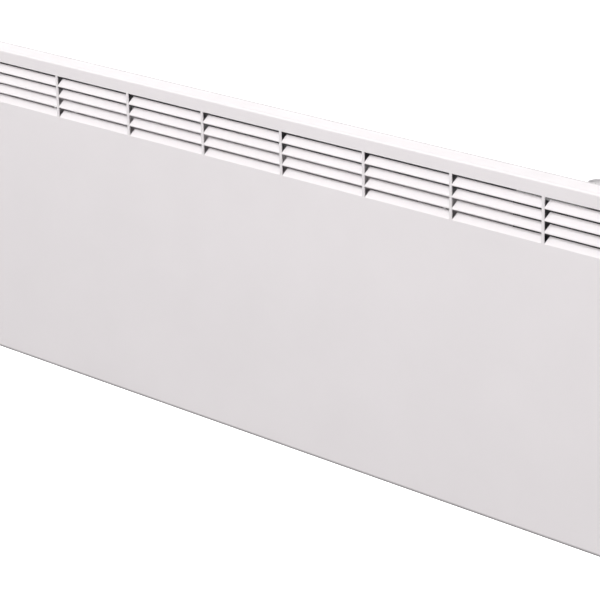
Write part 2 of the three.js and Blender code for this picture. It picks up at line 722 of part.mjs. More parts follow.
// A rocker pressed down at its left end; it turns about a line along Y.
function switchRocker() {
  const { x, y, length, width } = ROCKER;
  const reach = length / 2 - 0.6;
  const outline = [
    new THREE.Vector2(-reach * 0.8, -4.5),
    new THREE.Vector2(reach * 0.8, -4.5),
    new THREE.Vector2(reach, 6.6),
    new THREE.Vector2(reach * 0.45, 5.2),
    new THREE.Vector2(0, 4.7),
    new THREE.Vector2(-reach * 0.45, 5.2),
    new THREE.Vector2(-reach, 6.6),
  ];
  const options = { depth: width - 2 * GAP, bevelEnabled: false };
  const geometry = new THREE.ExtrudeGeometry(new THREE.Shape(outline), options);
  geometry.rotateX(Math.PI / 2).translate(0, width / 2 - GAP, 0);
  geometry.rotateY(THREE.MathUtils.degToRad(-ROCKER_TILT));
  return solidOf(geometry.translate(x, y, ROCKER_PIVOT_Z));
}

function indicatorLens() {
  const r = INDICATOR_R;
  const profile = [[0, -9], [r, -9], [r, GAP], [3.4, GAP], [3.2, 1.4], [2, 2.1], [0, 2.4]];
  return turned('z', profile, [INDICATOR_X, ROCKER.y, CONTROL.top], 20);
}

function relay() {
  return block(RELAY.x, RELAY.y, [ON_BOARD, ON_BOARD + RELAY.height]);
}

function terminalBlock() {
  const { x, z, half, depth, ways, pitch, wireR, screwR } = TERMINAL;
  const front = ON_PANEL - depth;
  let body = block([x - half[0], x + half[0]], [front, ON_PANEL], [z - half[1], z + half[1]]);
  for (let i = 0; i < ways; i++) {
    const way = x + (i - (ways - 1) / 2) * pitch;
    body = body.subtract(rod('z', wireR, -20, 20, [way, TERMINAL_WIRE_Y, z], 12));
    body = body.subtract(rod('y', screwR, -PAST, 1, [way, front, z], 12));
  }
  return body;
}

// A flanged ring that the supply lead is clamped in; it points to the wall.
function cableGland() {
  const { x, z, r, bore, inside, outside, flange } = GLAND;
  const seat = THIN + GAP;
  const profile = [
    [bore, -inside],
    [r, -inside],
    [r, seat],
    [flange, seat],
    [flange, seat + 2.7],
    [r + 1, seat + 4.7],
    [r + 1, outside - 2],
    [r - 0.5, outside],
    [bore, outside],
    [bore, -inside],
  ];
  return turned('y', profile, [x, PANEL_FRONT, z], 24);
}

function glandNut() {
  const { x, z, r } = GLAND;
  const hexagon = [];
  for (let i = 0; i < 6; i++) {
    const angle = (Math.PI * i) / 3;
    const across = GLAND_NUT.r * Math.cos(angle);
    hexagon.push(new THREE.Vector2(z + across, x + GLAND_NUT.r * Math.sin(angle)));
  }
  const nut = prism('y', hexagon, PANEL_FRONT - GLAND_NUT.height, ON_PANEL);
  return nut.subtract(rod('y', r + GAP, -GLAND.inside, 1, [x, PANEL_FRONT, z]));
}

// A stud and ring tag on the rear panel for the protective earth.
function earthTag() {
  const { x, z, studR, studLength, tagR } = EARTH;
  const tag = rod('y', tagR, -2.4, -1.2, [x, ON_PANEL, z], 18);
  const stud = rod('y', studR, -studLength, 0, [x, ON_PANEL, z], 12);
  const barrel = block([x - 1.5, x + 1.5], [PANEL_FRONT - 6.4, PANEL_FRONT - 1.6], [z + 3, z + 7]);
  return joined([tag, stud, barrel]);
}

function roomSensor() {
  const { x, y, z, half, r } = SENSOR;
  const profile = [[0, -half], [2, 0.6 - half], [r, 2.5 - half], [r, half - 2], [1.6, half], [0, half]];
  return turned('x', profile, [x, y, z]);
}

// A spring clip on a post that the room sensor is pressed into from above.
function sensorClip() {
  const { x, y, z } = SENSOR;
  const { inner, outer, half, stem, floor, stemTop } = SENSOR_CLIP;
  const across = [x - half, x + half];
  const grip = ring('x', inner, outer, -half, half, [x, y, z], 20);
  const mouth = block([x - half - 2, x + half + 2], [y - 2, y + 2], [z + 1, z + 8]);
  const foot = block(across, [y - 1.5, y + stem], [floor, stemTop]);
  const post = block(across, [y - 1.5, y + 1.5], [floor, z - inner - 0.5]);
  return grip.subtract(mouth).add(foot).add(post);
}

// ---- leads inside the heater ----

const ROD_END = ELEMENT_RIGHT + ROD_OVERHANG + GAP;
const ROD_START = ELEMENT_LEFT - ROD_OVERHANG - GAP;
const STRAIGHT = 2; // each lead leaves the rod it joins straight

const HIGH = ELEMENT_HEIGHTS.upper;
const LOW = ELEMENT_HEIGHTS.lower;
const BELOW_BOARD = BOARD.z - GAP;
const ABOVE_TERMINAL = TERMINAL.z + TERMINAL.half[1] + GAP;
const UNDER_TERMINAL = TERMINAL.z - TERMINAL.half[1] - GAP;
const BLADE_END = CUTOUT.x + BLADE.half + GAP;

const LEADS = {
  supply_live_lead: {
    colour: 'brown',
    points: [
      [TERMINAL.x - 12, TERMINAL_WIRE_Y, ABOVE_TERMINAL],
      [TERMINAL.x - 12, TERMINAL_WIRE_Y, -40],
      [TERMINAL.x - 6, -52, 20],
      [SUPPLY_LEADS_X - 2.5, BOARD_LEADS_Y, 80],
      [SUPPLY_LEADS_X - 2.5, BOARD_LEADS_Y, 110],
      [SUPPLY_LEADS_X - 6, BOARD_LEADS_Y, BELOW_BOARD],
    ],
  },
  supply_neutral_lead: {
    colour: 'blue',
    points: [
      [TERMINAL.x, TERMINAL_WIRE_Y, ABOVE_TERMINAL],
      [TERMINAL.x, TERMINAL_WIRE_Y, -40],
      [TERMINAL.x + 6, -52, 20],
      [SUPPLY_LEADS_X + 2.5, BOARD_LEADS_Y, 80],
      [SUPPLY_LEADS_X + 2.5, BOARD_LEADS_Y, 110],
      [SUPPLY_LEADS_X + 6, BOARD_LEADS_Y, BELOW_BOARD],
    ],
  },
  cutout_feed_lead: {
    colour: 'brown',
    points: [
      [BOARD_LEADS_X - 2.5, BOARD_LEADS_Y, BELOW_BOARD],
      [BOARD_LEADS_X - 2.5, BOARD_LEADS_Y, 125],
      [BOARD_LEADS_X - 2.5, BOARD_LEADS_Y, 95],
      [BOARD_LEADS_X - 5, BOARD_LEADS_Y, 85],
      [470, -56, 40],
      [PARTITION_X, LEAD_HOLE.y, LEAD_HOLE.z + 4],
      [410, CUTOUT.y - 16, CUTOUT.z + 6],
      [BLADE_END, CUTOUT.y - 14, CUTOUT.z + 4],
    ],
  },
  cutout_return_lead: {
    colour: 'white',
    points: [
      [BLADE_END, CUTOUT.y - 14, CUTOUT.z - 4],
      [410, CUTOUT.y - 16, CUTOUT.z - 6],
      [PARTITION_X, LEAD_HOLE.y, LEAD_HOLE.z - 4],
      [464, -56, -20],
      [468, ELEMENT_Y, HIGH + 24],
      [464, ELEMENT_Y, HIGH + 4],
      [ROD_END + STRAIGHT, ELEMENT_Y, HIGH],
      [ROD_END, ELEMENT_Y, HIGH],
    ],
  },
  element_return_lead: {
    colour: 'white',
    points: [
      [ROD_END, ELEMENT_Y, LOW],
      [ROD_END + STRAIGHT, ELEMENT_Y, LOW],
      [468, ELEMENT_Y, LOW + 2],
      [500, -56, LOW + 24],
      [530, -50, -110],
      [TERMINAL.x - 8, TERMINAL_WIRE_Y, -96],
      [TERMINAL.x, TERMINAL_WIRE_Y, UNDER_TERMINAL],
    ],
  },
  element_link_lead: {
    colour: 'white',
    points: [
      [ROD_START, ELEMENT_Y, HIGH],
      [ROD_START - STRAIGHT, ELEMENT_Y, HIGH],
      [-631, ELEMENT_Y, HIGH - 5],
      [-631.5, ELEMENT_Y, (HIGH + LOW) / 2],
      [-631, ELEMENT_Y, LOW + 5],
      [ROD_START - STRAIGHT, ELEMENT_Y, LOW],
      [ROD_START, ELEMENT_Y, LOW],
    ],
  },
  sensor_lead: {
    colour: 'black',
    points: [
      [BOARD_LEADS_X + 2.8, BOARD_LEADS_Y, BELOW_BOARD],
      [BOARD_LEADS_X + 2.8, BOARD_LEADS_Y, 125],
      [BOARD_LEADS_X + 2.8, BOARD_LEADS_Y, 95],
      [BOARD_LEADS_X + 5, BOARD_LEADS_Y, 85],
      [520, -70, 20],
      [600, -72, -60],
      [622, -70, -140],
      [620, SENSOR.y, SENSOR.z + 4],
      [SENSOR.x + SENSOR.half + GAP, SENSOR.y, SENSOR.z],
    ],
  },
  earth_lead: {
    colour: 'green',
    points: [
      [TERMINAL.x + 12, TERMINAL_WIRE_Y, ABOVE_TERMINAL],
      [TERMINAL.x + 13, TERMINAL_WIRE_Y, -50],
      [590, TERMINAL_WIRE_Y, -40],
      [600, -40, -56],
      [EARTH.x, PANEL_FRONT - 5.2, EARTH.z + 7.6],
    ],
  },
};

// ---- rubber bumpers between the heater's foot and the wall ----

function wallBumper(x) {
  const wall = WALL_GAP + THIN - GAP;
  const profile = [
    [0, -6],
    [3, -5],
    [4.4, -GAP - 1],
    [4.4, -GAP],
    [3, -GAP],
    [3, THIN + GAP],
    [9, THIN + GAP],
    [7, wall - 1.2],
    [5.5, wall],
    [0, wall],
  ];
  return turned('y', profile, [x, PANEL_FRONT, BUMPER_Z], 14);
}

// ---- wall bracket and its turning locks ----

// A flange of the bracket's leg, with the hook that goes through the rear panel.
function bracketFlange(x) {
  const reach = BACK + STEEL;
  const throat = BACK - THIN - 3;
  const tip = throat - 3;
  const outline = [
    [0, LOCK_Z + 28],
    [0, LEG_TOP],
    [-6, LEG_TOP],
    [reach, LEG_TOP - 12],
    [reach, HOOK_Z],
    [throat, HOOK_Z],
    [throat, HOOK_Z + HOOK_LIP],
    [tip, HOOK_Z + HOOK_LIP - 2],
    [tip, HOOK_Z - HOOK_NECK],
    [reach, HOOK_Z - HOOK_NECK],
    [reach, LOCK_Z + 40],
    [-8, LOCK_Z + 28],
  ].map(([y, z]) => new THREE.Vector2(y, z));
  return prism('x', outline, x - STEEL / 2, x + STEEL / 2);
}

function wallBracket() {
  const pieces = [];
  const holes = [];
  const flangeOffset = LEG_WIDTH / 2 - STEEL / 2;
  const { half, depth } = LOCK_BOSS;
  for (const side of [-1, 1]) {
    const x = side * LEG_X;
    const inside = half - STEEL;
    pieces.push(
      block([x - LEG_WIDTH / 2, x + LEG_WIDTH / 2], [-STEEL, 0], [LEG_BOTTOM, LEG_TOP]),
      bracketFlange(x - flangeOffset),
      bracketFlange(x + flangeOffset),
      block([x - half, x + half], [-depth, 0], [LOCK_Z - half, LOCK_Z + half]),
    );
    holes.push(
      block([x - inside, x + inside], [-depth + STEEL, 1], [LOCK_Z - inside, LOCK_Z + inside]),
      rod('y', LOCK_SHAFT_R + GAP, -2 * depth, 1, [x, 0, LOCK_Z], 20),
      ...LEG_SCREW_HEIGHTS.map((z) => rod('y', LEG_SCREW_R, -PAST, PAST, [x, 0, z], 12)),
    );
  }
  const inner = LEG_X - LEG_WIDTH / 2 + STEEL / 2;
  const edge = CROSSBAR.half;
  const path = [[-CROSSBAR.depth, -edge], [0, -edge], [0, edge], [-CROSSBAR.depth, edge]];
  pieces.push(prism('x', foldedSheet(path, STEEL, 1, 3), -inner, inner));
  const [slotX, slotZ] = CROSSBAR.slotHalf;
  for (const x of [-CROSSBAR.slotX, CROSSBAR.slotX]) {
    holes.push(block([x - slotX, x + slotX], [-PAST, PAST], [-slotZ, slotZ]));
  }
  return joined(pieces).subtract(joined(holes));
}

// A moulded lock: a tongue in front of the rear panel, a lever behind it that hangs down,
// and a shaft that snaps into the bracket.
function turningLock(x) {
  const at = [x, 0, LOCK_Z];
  const { reach, half, thickness } = TONGUE;
  const tongueBack = PANEL_FRONT - 0.5;
  const tongueFront = tongueBack - thickness;
  const snap = -LOCK_BOSS.depth + STEEL + 0.5; // just inside the boss
  const grip = [LEVER.from - 1, LEVER.to + 1];
  const end = LOCK_Z - LEVER.length;
  return joined([
    rod('y', LOCK_SHAFT_R, tongueFront, snap + 2.5, at, 20),
    turned('y', [[0, snap], [4.4, snap], [3.4, snap + 2.5], [0, snap + 2.5]], at, 20),
    rod('y', 6.5, ...grip, at, 24),
    block([x - reach, x + reach], [tongueFront, tongueBack], [LOCK_Z - half, LOCK_Z + half]),
    block([x - LEVER.half, x + LEVER.half], [LEVER.from, LEVER.to], [end + 1, LOCK_Z]),
    block([x - LEVER.gripHalf, x + LEVER.gripHalf], grip, [end, end + LEVER.gripLength]),
  ]);
}

// ---- screws ----

// A pan-headed screw driven from the wall side.
function backScrew(x, z) {
  const profile = [
    [0, -7],
    [1.7, -5],
    [1.7, THIN + GAP],
    [3.9, THIN + GAP],
    [3.4, THIN + 2],
    [0, THIN + 2.5],
  ];
  return turned('y', profile, [x, PANEL_FRONT, z], 10);
}

// ---- the whole heater ----

addPart('wall_bracket', wallBracket(), WHITE_PAINT);
addPart('left_turning_lock', turningLock(-LEG_X), GREY_PLASTIC);
addPart('right_turning_lock', turningLock(LEG_X), GREY_PLASTIC);
addPart('front_cover', frontCover(), WHITE_PAINT);
addPart('rear_panel', rearPanel(), WHITE_PAINT);
addPart('air_deflector', airDeflector(), GALVANISED);
addPart('left_element_bracket', leftElementBracket(), GALVANISED);
addPart('control_partition', controlPartition(), GALVANISED);
addPart('left_element_support', elementSupport(SUPPORTS.left), GALVANISED);
addPart('right_element_support', elementSupport(SUPPORTS.right), GALVANISED);
for (const [level, z] of Object.entries(ELEMENT_HEIGHTS)) {
  addPart(`${level}_element_profile`, elementProfile(z), ALUMINIUM);
  addPart(`${level}_element_rod`, elementRod(z), STAINLESS);
  addPart(`${level}_left_bush`, elementBush(LEFT_BRACKET_X, z), CERAMIC);
  addPart(`${level}_right_bush`, elementBush(PARTITION_X, z), CERAMIC);
}
addPart('thermal_cutout', thermalCutout(), BLACK_PLASTIC);
addPart('cutout_clip', cutoutClip(), STAINLESS);
addPart('control_housing', controlHousing(), BLACK_PLASTIC);
addPart('control_housing_lid', controlLid(), GREY_PLASTIC);
addPart('control_board', controlBoard(), CIRCUIT_BOARD);
addPart('potentiometer', potentiometer(), BLACK_PLASTIC);
addPart('dial_shaft', dialShaft(), GREY_PLASTIC);
addPart('thermostat_dial', thermostatDial(), WHITE_PLASTIC);
addPart('switch_frame', switchFrame(), BLACK_PLASTIC);
addPart('switch_rocker', switchRocker(), BLACK_PLASTIC);
addPart('indicator_lens', indicatorLens(), LENS);
addPart('relay', relay(), BLACK_PLASTIC);
addPart('terminal_block', terminalBlock(), WHITE_PLASTIC);
addPart('cable_gland', cableGland(), BLACK_PLASTIC);
addPart('gland_nut', glandNut(), BLACK_PLASTIC);
addPart('earth_tag', earthTag(), STAINLESS);
addPart('room_sensor', roomSensor(), BLACK_PLASTIC);
addPart('sensor_clip', sensorClip(), GREY_PLASTIC);
for (const [name, { colour, points }] of Object.entries(LEADS)) {
  addPart(name, wire(points), LEAD_COLOURS[colour]);
}
for (const [side, x] of Object.entries(BUMPERS)) {
  addPart(`${side}_wall_bumper`, wallBumper(x), RUBBER);
}
BACK_SCREWS.forEach(({ name, x, z }, i) => {
  addPart(`${name}_${i + 1}`, backScrew(x, z), ZINC_SCREW);
});

export default heater;
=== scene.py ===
"""A low electric panel heater on its wall bracket: the looks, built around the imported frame.

Lengths are in millimetres inside the builders and become metres when a mesh is made.
+X is to the right of a person who faces the heater, +Y goes into the wall, +Z is up.
"""

import json
import math
import random

import bmesh
import bpy
from mathutils import Matrix, Vector

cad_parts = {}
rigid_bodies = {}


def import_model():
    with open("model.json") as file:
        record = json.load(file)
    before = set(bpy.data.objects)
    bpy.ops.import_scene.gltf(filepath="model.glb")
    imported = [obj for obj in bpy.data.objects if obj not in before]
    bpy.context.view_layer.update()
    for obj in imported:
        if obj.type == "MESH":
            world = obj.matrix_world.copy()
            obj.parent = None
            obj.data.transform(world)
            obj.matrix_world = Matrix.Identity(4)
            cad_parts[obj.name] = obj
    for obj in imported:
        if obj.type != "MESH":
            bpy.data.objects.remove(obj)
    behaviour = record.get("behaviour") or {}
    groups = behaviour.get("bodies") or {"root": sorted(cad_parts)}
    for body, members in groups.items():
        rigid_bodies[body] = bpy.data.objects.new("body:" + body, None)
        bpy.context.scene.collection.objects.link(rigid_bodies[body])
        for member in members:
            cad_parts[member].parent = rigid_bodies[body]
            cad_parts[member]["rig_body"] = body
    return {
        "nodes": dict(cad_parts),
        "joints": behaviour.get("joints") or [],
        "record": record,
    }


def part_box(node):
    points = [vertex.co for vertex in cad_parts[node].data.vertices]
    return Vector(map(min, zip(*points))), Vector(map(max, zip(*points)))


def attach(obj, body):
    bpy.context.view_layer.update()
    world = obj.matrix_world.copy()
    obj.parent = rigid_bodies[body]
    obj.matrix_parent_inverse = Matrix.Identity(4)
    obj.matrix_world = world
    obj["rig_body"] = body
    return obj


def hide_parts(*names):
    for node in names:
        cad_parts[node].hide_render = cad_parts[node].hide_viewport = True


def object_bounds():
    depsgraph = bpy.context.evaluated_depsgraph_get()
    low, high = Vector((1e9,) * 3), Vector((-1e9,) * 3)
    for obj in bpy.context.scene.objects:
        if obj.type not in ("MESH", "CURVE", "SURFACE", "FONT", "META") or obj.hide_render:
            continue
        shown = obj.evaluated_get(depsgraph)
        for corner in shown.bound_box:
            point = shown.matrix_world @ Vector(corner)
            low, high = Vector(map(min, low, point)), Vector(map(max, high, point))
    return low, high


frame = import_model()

CAD_LOW, CAD_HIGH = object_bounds()
MM = 0.001
SAME = 1e-6  # mm: closer values are the same
WELD = 1e-6  # m: closer vertices of a CAD mesh are joined
random.seed(7)

# ---------------------------------------------------------------- camera, light, floor

CAMERA_AZIMUTH = 43.96
CAMERA_ELEVATION = 19.75
CAMERA_ROLL = 1.24
CAMERA_PLACE = (2.1562, -2.1678, 1.0262)
CAMERA_LENS = 162.4
SENSOR_WIDTH = 36
FLOOR_DROP = 0.55
FLOOR_HALF = 12
FLOOR_GLOW = 0.8
DOME_COLOUR = (1.0, 0.985, 0.99)
DOME = (  # place from nadir to zenith, and share of the power
    (0.46, 0.02), (0.5, 0.27), (0.54, 0.7), (0.6, 1.0),
    (0.68, 0.62), (0.8, 0.32), (0.9, 0.14), (1.0, 0.08),
)
DOME_POWER = 2.48
KEY_PLACE = (0.1, -1.45, 1.6)
KEY_TARGET = (0.1, -0.09, 0.15)
KEY_SIZE = (3.6, 0.6)
KEY_POWER = 25


def add_camera():
    """The camera that the perspective fit of the photograph gave."""
    azimuth = math.radians(CAMERA_AZIMUTH)
    elevation = math.radians(CAMERA_ELEVATION)
    roll = math.radians(CAMERA_ROLL)
    back = Vector((
        math.sin(azimuth) * math.cos(elevation),
        -math.cos(azimuth) * math.cos(elevation),
        math.sin(elevation),
    ))
    right = Vector((0, 0, 1)).cross(back).normalized()
    up = back.cross(right)
    rolled_right = right * math.cos(roll) - up * math.sin(roll)
    rolled_up = up * math.cos(roll) + right * math.sin(roll)
    turn = Matrix((rolled_right, rolled_up, back)).transposed().to_4x4()
    data = bpy.data.cameras.new("camera")
    data.lens = CAMERA_LENS
    data.sensor_width = SENSOR_WIDTH
    data.clip_end = 100
    camera = bpy.data.objects.new("camera", data)
    camera.matrix_world = Matrix.Translation(CAMERA_PLACE) @ turn
    bpy.context.scene.collection.objects.link(camera)
    bpy.context.scene.camera = camera


def add_area(name, place, target, size, power):
    data = bpy.data.lights.new(name, "AREA")
    data.shape = "RECTANGLE"
    data.size, data.size_y = size
    data.energy = power
    light = bpy.data.objects.new(name, data)
    light.location = place
    aim = Vector(target) - Vector(place)
    light.rotation_euler = aim.to_track_quat("-Z", "Y").to_euler()
    bpy.context.scene.collection.objects.link(light)


def add_world():
    """White behind the object; as light, a soft dome that is brightest above the horizon."""
    world = bpy.data.worlds.new("studio")
    world.use_nodes = True
    bpy.context.scene.world = world
    nodes, links = world.node_tree.nodes, world.node_tree.links
    nodes.clear()
    out = nodes.new("ShaderNodeOutputWorld")
    seen = nodes.new("ShaderNodeBackground")
    seen.inputs["Color"].default_value = (1, 1, 1, 1)
    seen.inputs["Strength"].default_value = 1.0
    fill = nodes.new("ShaderNodeBackground")
    fill.inputs["Strength"].default_value = DOME_POWER
    place = nodes.new("ShaderNodeTexCoord")
    split = nodes.new("ShaderNodeSeparateXYZ")
    height = nodes.new("ShaderNodeMapRange")
    height.inputs["From Min"].default_value = -1
    ramp = nodes.new("ShaderNodeValToRGB")
    elements = ramp.color_ramp.elements
    while len(elements) < len(DOME):
        elements.new(0.5)
    for element, (position, share) in zip(elements, DOME):
        element.position = position
        element.color = (*(share * c for c in DOME_COLOUR), 1)
    ray = nodes.new("ShaderNodeLightPath")
    mix = nodes.new("ShaderNodeMixShader")
    links.new(place.outputs["Generated"], split.inputs["Vector"])
    links.new(split.outputs["Z"], height.inputs["Value"])
    links.new(height.outputs["Result"], ramp.inputs["Fac"])
    links.new(ramp.outputs["Color"], fill.inputs["Color"])
    links.new(ray.outputs["Is Camera Ray"], mix.inputs["Fac"])
    links.new(fill.outputs["Background"], mix.inputs[1])
    links.new(seen.outputs["Background"], mix.inputs[2])
    links.new(mix.outputs["Shader"], out.inputs["Surface"])


def add_floor():
    mesh = bpy.data.meshes.new("floor")
    z = CAD_LOW.z - FLOOR_DROP
    corners = [(x * FLOOR_HALF, y * FLOOR_HALF, z) for x, y in ((-1, -1), (1, -1), (1, 1), (-1, 1))]
    mesh.from_pydata(corners, [], [(0, 1, 2, 3)])
    floor = bpy.data.objects.new("floor", mesh)
    bpy.context.scene.collection.objects.link(floor)
    floor.data.materials.append(floor_paint())
    floor.visible_diffuse = False
    floor.visible_glossy = False


# ---------------------------------------------------------------- materials

class Paint:
    """A Principled material with helpers for procedural detail in object space."""

    def __init__(self, name, colour, roughness, metallic=0.0):
        self.material = bpy.data.materials.new(name)
        self.material.use_nodes = True
        self.tree = self.material.node_tree
        self.shader = self.tree.nodes["Principled BSDF"]
        self.shader.inputs["Base Color"].default_value = (*colour, 1)
        self.shader.inputs["Roughness"].default_value = roughness
        self.shader.inputs["Metallic"].default_value = metallic
        self.colour = colour
        self.place = self.add("ShaderNodeTexCoord").outputs["Object"]

    def add(self, kind):
        return self.tree.nodes.new(kind)

    def link(self, a, b):
        self.tree.links.new(a, b)

    def scaled(self, x, y, z):
        mapping = self.add("ShaderNodeMapping")
        mapping.inputs["Scale"].default_value = (x, y, z)
        self.link(self.place, mapping.inputs["Vector"])
        return mapping.outputs["Vector"]

    def noise(self, scale, detail=3, stretch=(1, 1, 1), rough=0.5):
        node = self.add("ShaderNodeTexNoise")
        node.inputs["Scale"].default_value = scale
        node.inputs["Detail"].default_value = detail
        node.inputs["Roughness"].default_value = rough
        self.link(self.scaled(*stretch), node.inputs["Vector"])
        return node.outputs["Fac"]

    def cells(self, scale, stretch=(1, 1, 1), output="Color"):
        node = self.add("ShaderNodeTexVoronoi")
        node.inputs["Scale"].default_value = scale
        self.link(self.scaled(*stretch), node.inputs["Vector"])
        return node.outputs[output]

    def product(self, a, b):
        node = self.add("ShaderNodeMath")
        node.operation = "MULTIPLY"
        self.link(a, node.inputs[0])
        self.link(b, node.inputs[1])
        return node.outputs["Value"]

    def within(self, y_edge, z_edge):
        """1 past an edge in Y and an edge in Z of the object's own space.

        An edge is two places in mm: where the mask is 0, and where it has become 1.
        """
        node = self.add("ShaderNodeSeparateXYZ")
        self.link(self.place, node.inputs["Vector"])
        shares = []
        for axis, (start, end) in (("Y", y_edge), ("Z", z_edge)):
            low, high = min(start, end) * MM, max(start, end) * MM
            values = (0, 1) if start < end else (1, 0)
            shares.append(self.span(node.outputs[axis], *values, low, high))
        return self.product(*shares)

    def ramp(self, value, stops):
        node = self.add("ShaderNodeValToRGB")
        elements = node.color_ramp.elements
        while len(elements) < len(stops):
            elements.new(0.5)
        for element, (position, colour) in zip(elements, stops):
            element.position = position
            element.color = (*colour, 1)
        self.link(value, node.inputs["Fac"])
        return node.outputs["Color"]

    def span(self, value, low, high, from_low=0.3, from_high=0.7):
        node = self.add("ShaderNodeMapRange")
        node.inputs["From Min"].default_value = from_low
        node.inputs["From Max"].default_value = from_high
        node.inputs["To Min"].default_value = low
        node.inputs["To Max"].default_value = high
        self.link(value, node.inputs["Value"])
        return node.outputs["Result"]

    def blend(self, a, b, factor):
        node = self.add("ShaderNodeMix")
        node.data_type = "RGBA"
        self.link(factor, node.inputs[0])
        for value, socket in ((a, node.inputs[6]), (b, node.inputs[7])):
            if isinstance(value, tuple):
                socket.default_value = (*value, 1)
            else:
                self.link(value, socket)
        return node.outputs[2]

    def tint(self, value, share):
        """Colour variation about the base colour: darker by `share` where value is low."""
        dark = tuple(c * (1 - share) for c in self.colour)
        light = tuple(min(1, c * (1 + share)) for c in self.colour)
        return self.ramp(value, [(0.3, dark), (0.7, light)])

    def worn_edges(self, radius, noise_scale):
        """1 along edges within `radius` mm, broken up by noise, and 0 on flat faces."""
        soft = self.add("ShaderNodeBevel")
        soft.samples = 6
        soft.inputs["Radius"].default_value = radius * MM
        plain = self.add("ShaderNodeNewGeometry").outputs["Normal"]
        dot = self.add("ShaderNodeVectorMath")
        dot.operation = "DOT_PRODUCT"
        self.link(soft.outputs["Normal"], dot.inputs[0])
        self.link(plain, dot.inputs[1])
        edge = self.span(dot.outputs["Value"], 1, 0, 0.8, 0.99)
        return self.product(edge, self.span(self.noise(noise_scale, 4), 0, 1, 0.4, 0.65))

    def set_colour(self, colour):
        self.link(colour, self.shader.inputs["Base Color"])

    def set_roughness(self, value):
        self.link(value, self.shader.inputs["Roughness"])

    def bump(self, *layers):
        """Each layer is (height, depth in mm); they add up."""
        normal = None
        for height, depth in layers:
            node = self.add("ShaderNodeBump")
            node.inputs["Strength"].default_value = 1
            node.inputs["Distance"].default_value = depth * MM
            self.link(height, node.inputs["Height"])
            if normal is not None:
                self.link(normal, node.inputs["Normal"])
            normal = node.outputs["Normal"]
        self.link(normal, self.shader.inputs["Normal"])


def floor_paint():
    paint = Paint("pale_floor", (0.93, 0.93, 0.93), 0.9)
    paint.set_colour(paint.tint(paint.noise(1.5), 0.01))
    paint.shader.inputs["Specular IOR Level"].default_value = 0.1
    paint.shader.inputs["Emission Color"].default_value = (1, 1, 1, 1)
    paint.shader.inputs["Emission Strength"].default_value = FLOOR_GLOW
    return paint.material


# painted shade: the coat is painted greyer along two folds, under the front face's bottom bend and along
# the top return's rear edge, where shade falls; each band is an edge in Y and an edge in Z, in mm
LOW_BEND_PAINTED_SHADE = ((-83.5, -85), (-195.3, -197.6))
REAR_FOLD_PAINTED_SHADE = ((-66, -64), (198.6, 199))


def powder_coat():
    """White powder coat with orange peel, faint clouds, a few specks, and painted shade that greys two
    folds.
    """
    paint = Paint("white_powder_coat", (0.836, 0.804, 0.815), 0.42)
    clouds = paint.tint(paint.noise(9, 4), 0.012)
    specks = paint.cells(650, output="Distance")
    speck = paint.span(specks, 1, 0, 0.03, 0.06)
    dotted = paint.blend(clouds, (0.74, 0.73, 0.735), paint.span(speck, 0, 0.25, 0, 1))
    wear = paint.span(paint.worn_edges(0.8, 260), 0, 0.45, 0, 1)
    worn = paint.blend(dotted, (0.62, 0.61, 0.6), wear)
    # painted shade: greyer along the top return's rear fold, and much greyer under the front face's
    # bottom bend
    folded = paint.blend(worn, (0.63, 0.607, 0.616), paint.within(*REAR_FOLD_PAINTED_SHADE))
    paint.set_colour(paint.blend(folded, (0.42, 0.403, 0.411), paint.within(*LOW_BEND_PAINTED_SHADE)))
    paint.set_roughness(paint.span(paint.noise(35, 5), 0.36, 0.5))
    peel = paint.noise(420, 2)
    fine = paint.noise(1700, 2)
    paint.bump((peel, 0.045), (fine, 0.008))
    paint.shader.inputs["Coat Weight"].default_value = 0.08
    paint.shader.inputs["Coat Roughness"].default_value = 0.25
    return paint.material


def galvanised():
    """Hot-dip galvanised sheet with its spangle and rolling marks."""
    paint = Paint("galvanised_sheet", (0.6, 0.615, 0.63), 0.42, 0.9)
    spangle = paint.cells(95)
    grey = paint.add("ShaderNodeRGBToBW")
    paint.link(spangle, grey.inputs["Color"])
    value = grey.outputs["Val"]
    paint.set_colour(paint.ramp(value, [(0.2, (0.5, 0.52, 0.54)), (0.8, (0.68, 0.69, 0.7))]))
    paint.set_roughness(paint.span(value, 0.32, 0.55, 0.2, 0.8))
    paint.bump((paint.noise(60, 4, (1, 1, 14)), 0.02), (value, 0.006))
    return paint.material


def extruded_aluminium():
    """Die lines along X, with light oxide clouds."""
    paint = Paint("extruded_aluminium", (0.78, 0.785, 0.79), 0.32, 1)
    lines = paint.noise(900, 3, (0.012, 1, 1))
    clouds = paint.span(paint.noise(14, 4), 0, 0.5)
    paint.set_colour(paint.blend(paint.tint(lines, 0.05), (0.66, 0.67, 0.68), clouds))
    paint.set_roughness(paint.span(lines, 0.25, 0.42))
    paint.bump((lines, 0.02))
    paint.shader.inputs["Anisotropic"].default_value = 0.4
    return paint.material


def stainless():
    """Bright annealed steel with heat tint in bands."""
    paint = Paint("stainless_sheath", (0.56, 0.55, 0.54), 0.3, 1)
    bands = paint.noise(11, 3, (1, 0.3, 0.3))
    stops = [
        (0.3, (0.58, 0.57, 0.56)),
        (0.5, (0.52, 0.45, 0.36)),
        (0.62, (0.4, 0.38, 0.42)),
        (0.75, (0.56, 0.56, 0.57)),
    ]
    paint.set_colour(paint.ramp(bands, stops))
    fine = paint.noise(1200, 2, (1, 0.05, 0.05))
    paint.set_roughness(paint.span(fine, 0.22, 0.4))
    paint.bump((fine, 0.01))
    return paint.material


def zinc():
    """Blue-white zinc plating with small dull patches."""
    paint = Paint("zinc_screw", (0.62, 0.64, 0.67), 0.3, 1)
    patches = paint.noise(600, 4)
    paint.set_colour(paint.ramp(patches, [(0.35, (0.48, 0.5, 0.55)), (0.65, (0.7, 0.71, 0.72))]))
    paint.set_roughness(paint.span(patches, 0.42, 0.24))
    paint.bump((paint.noise(2500, 2), 0.006))
    return paint.material


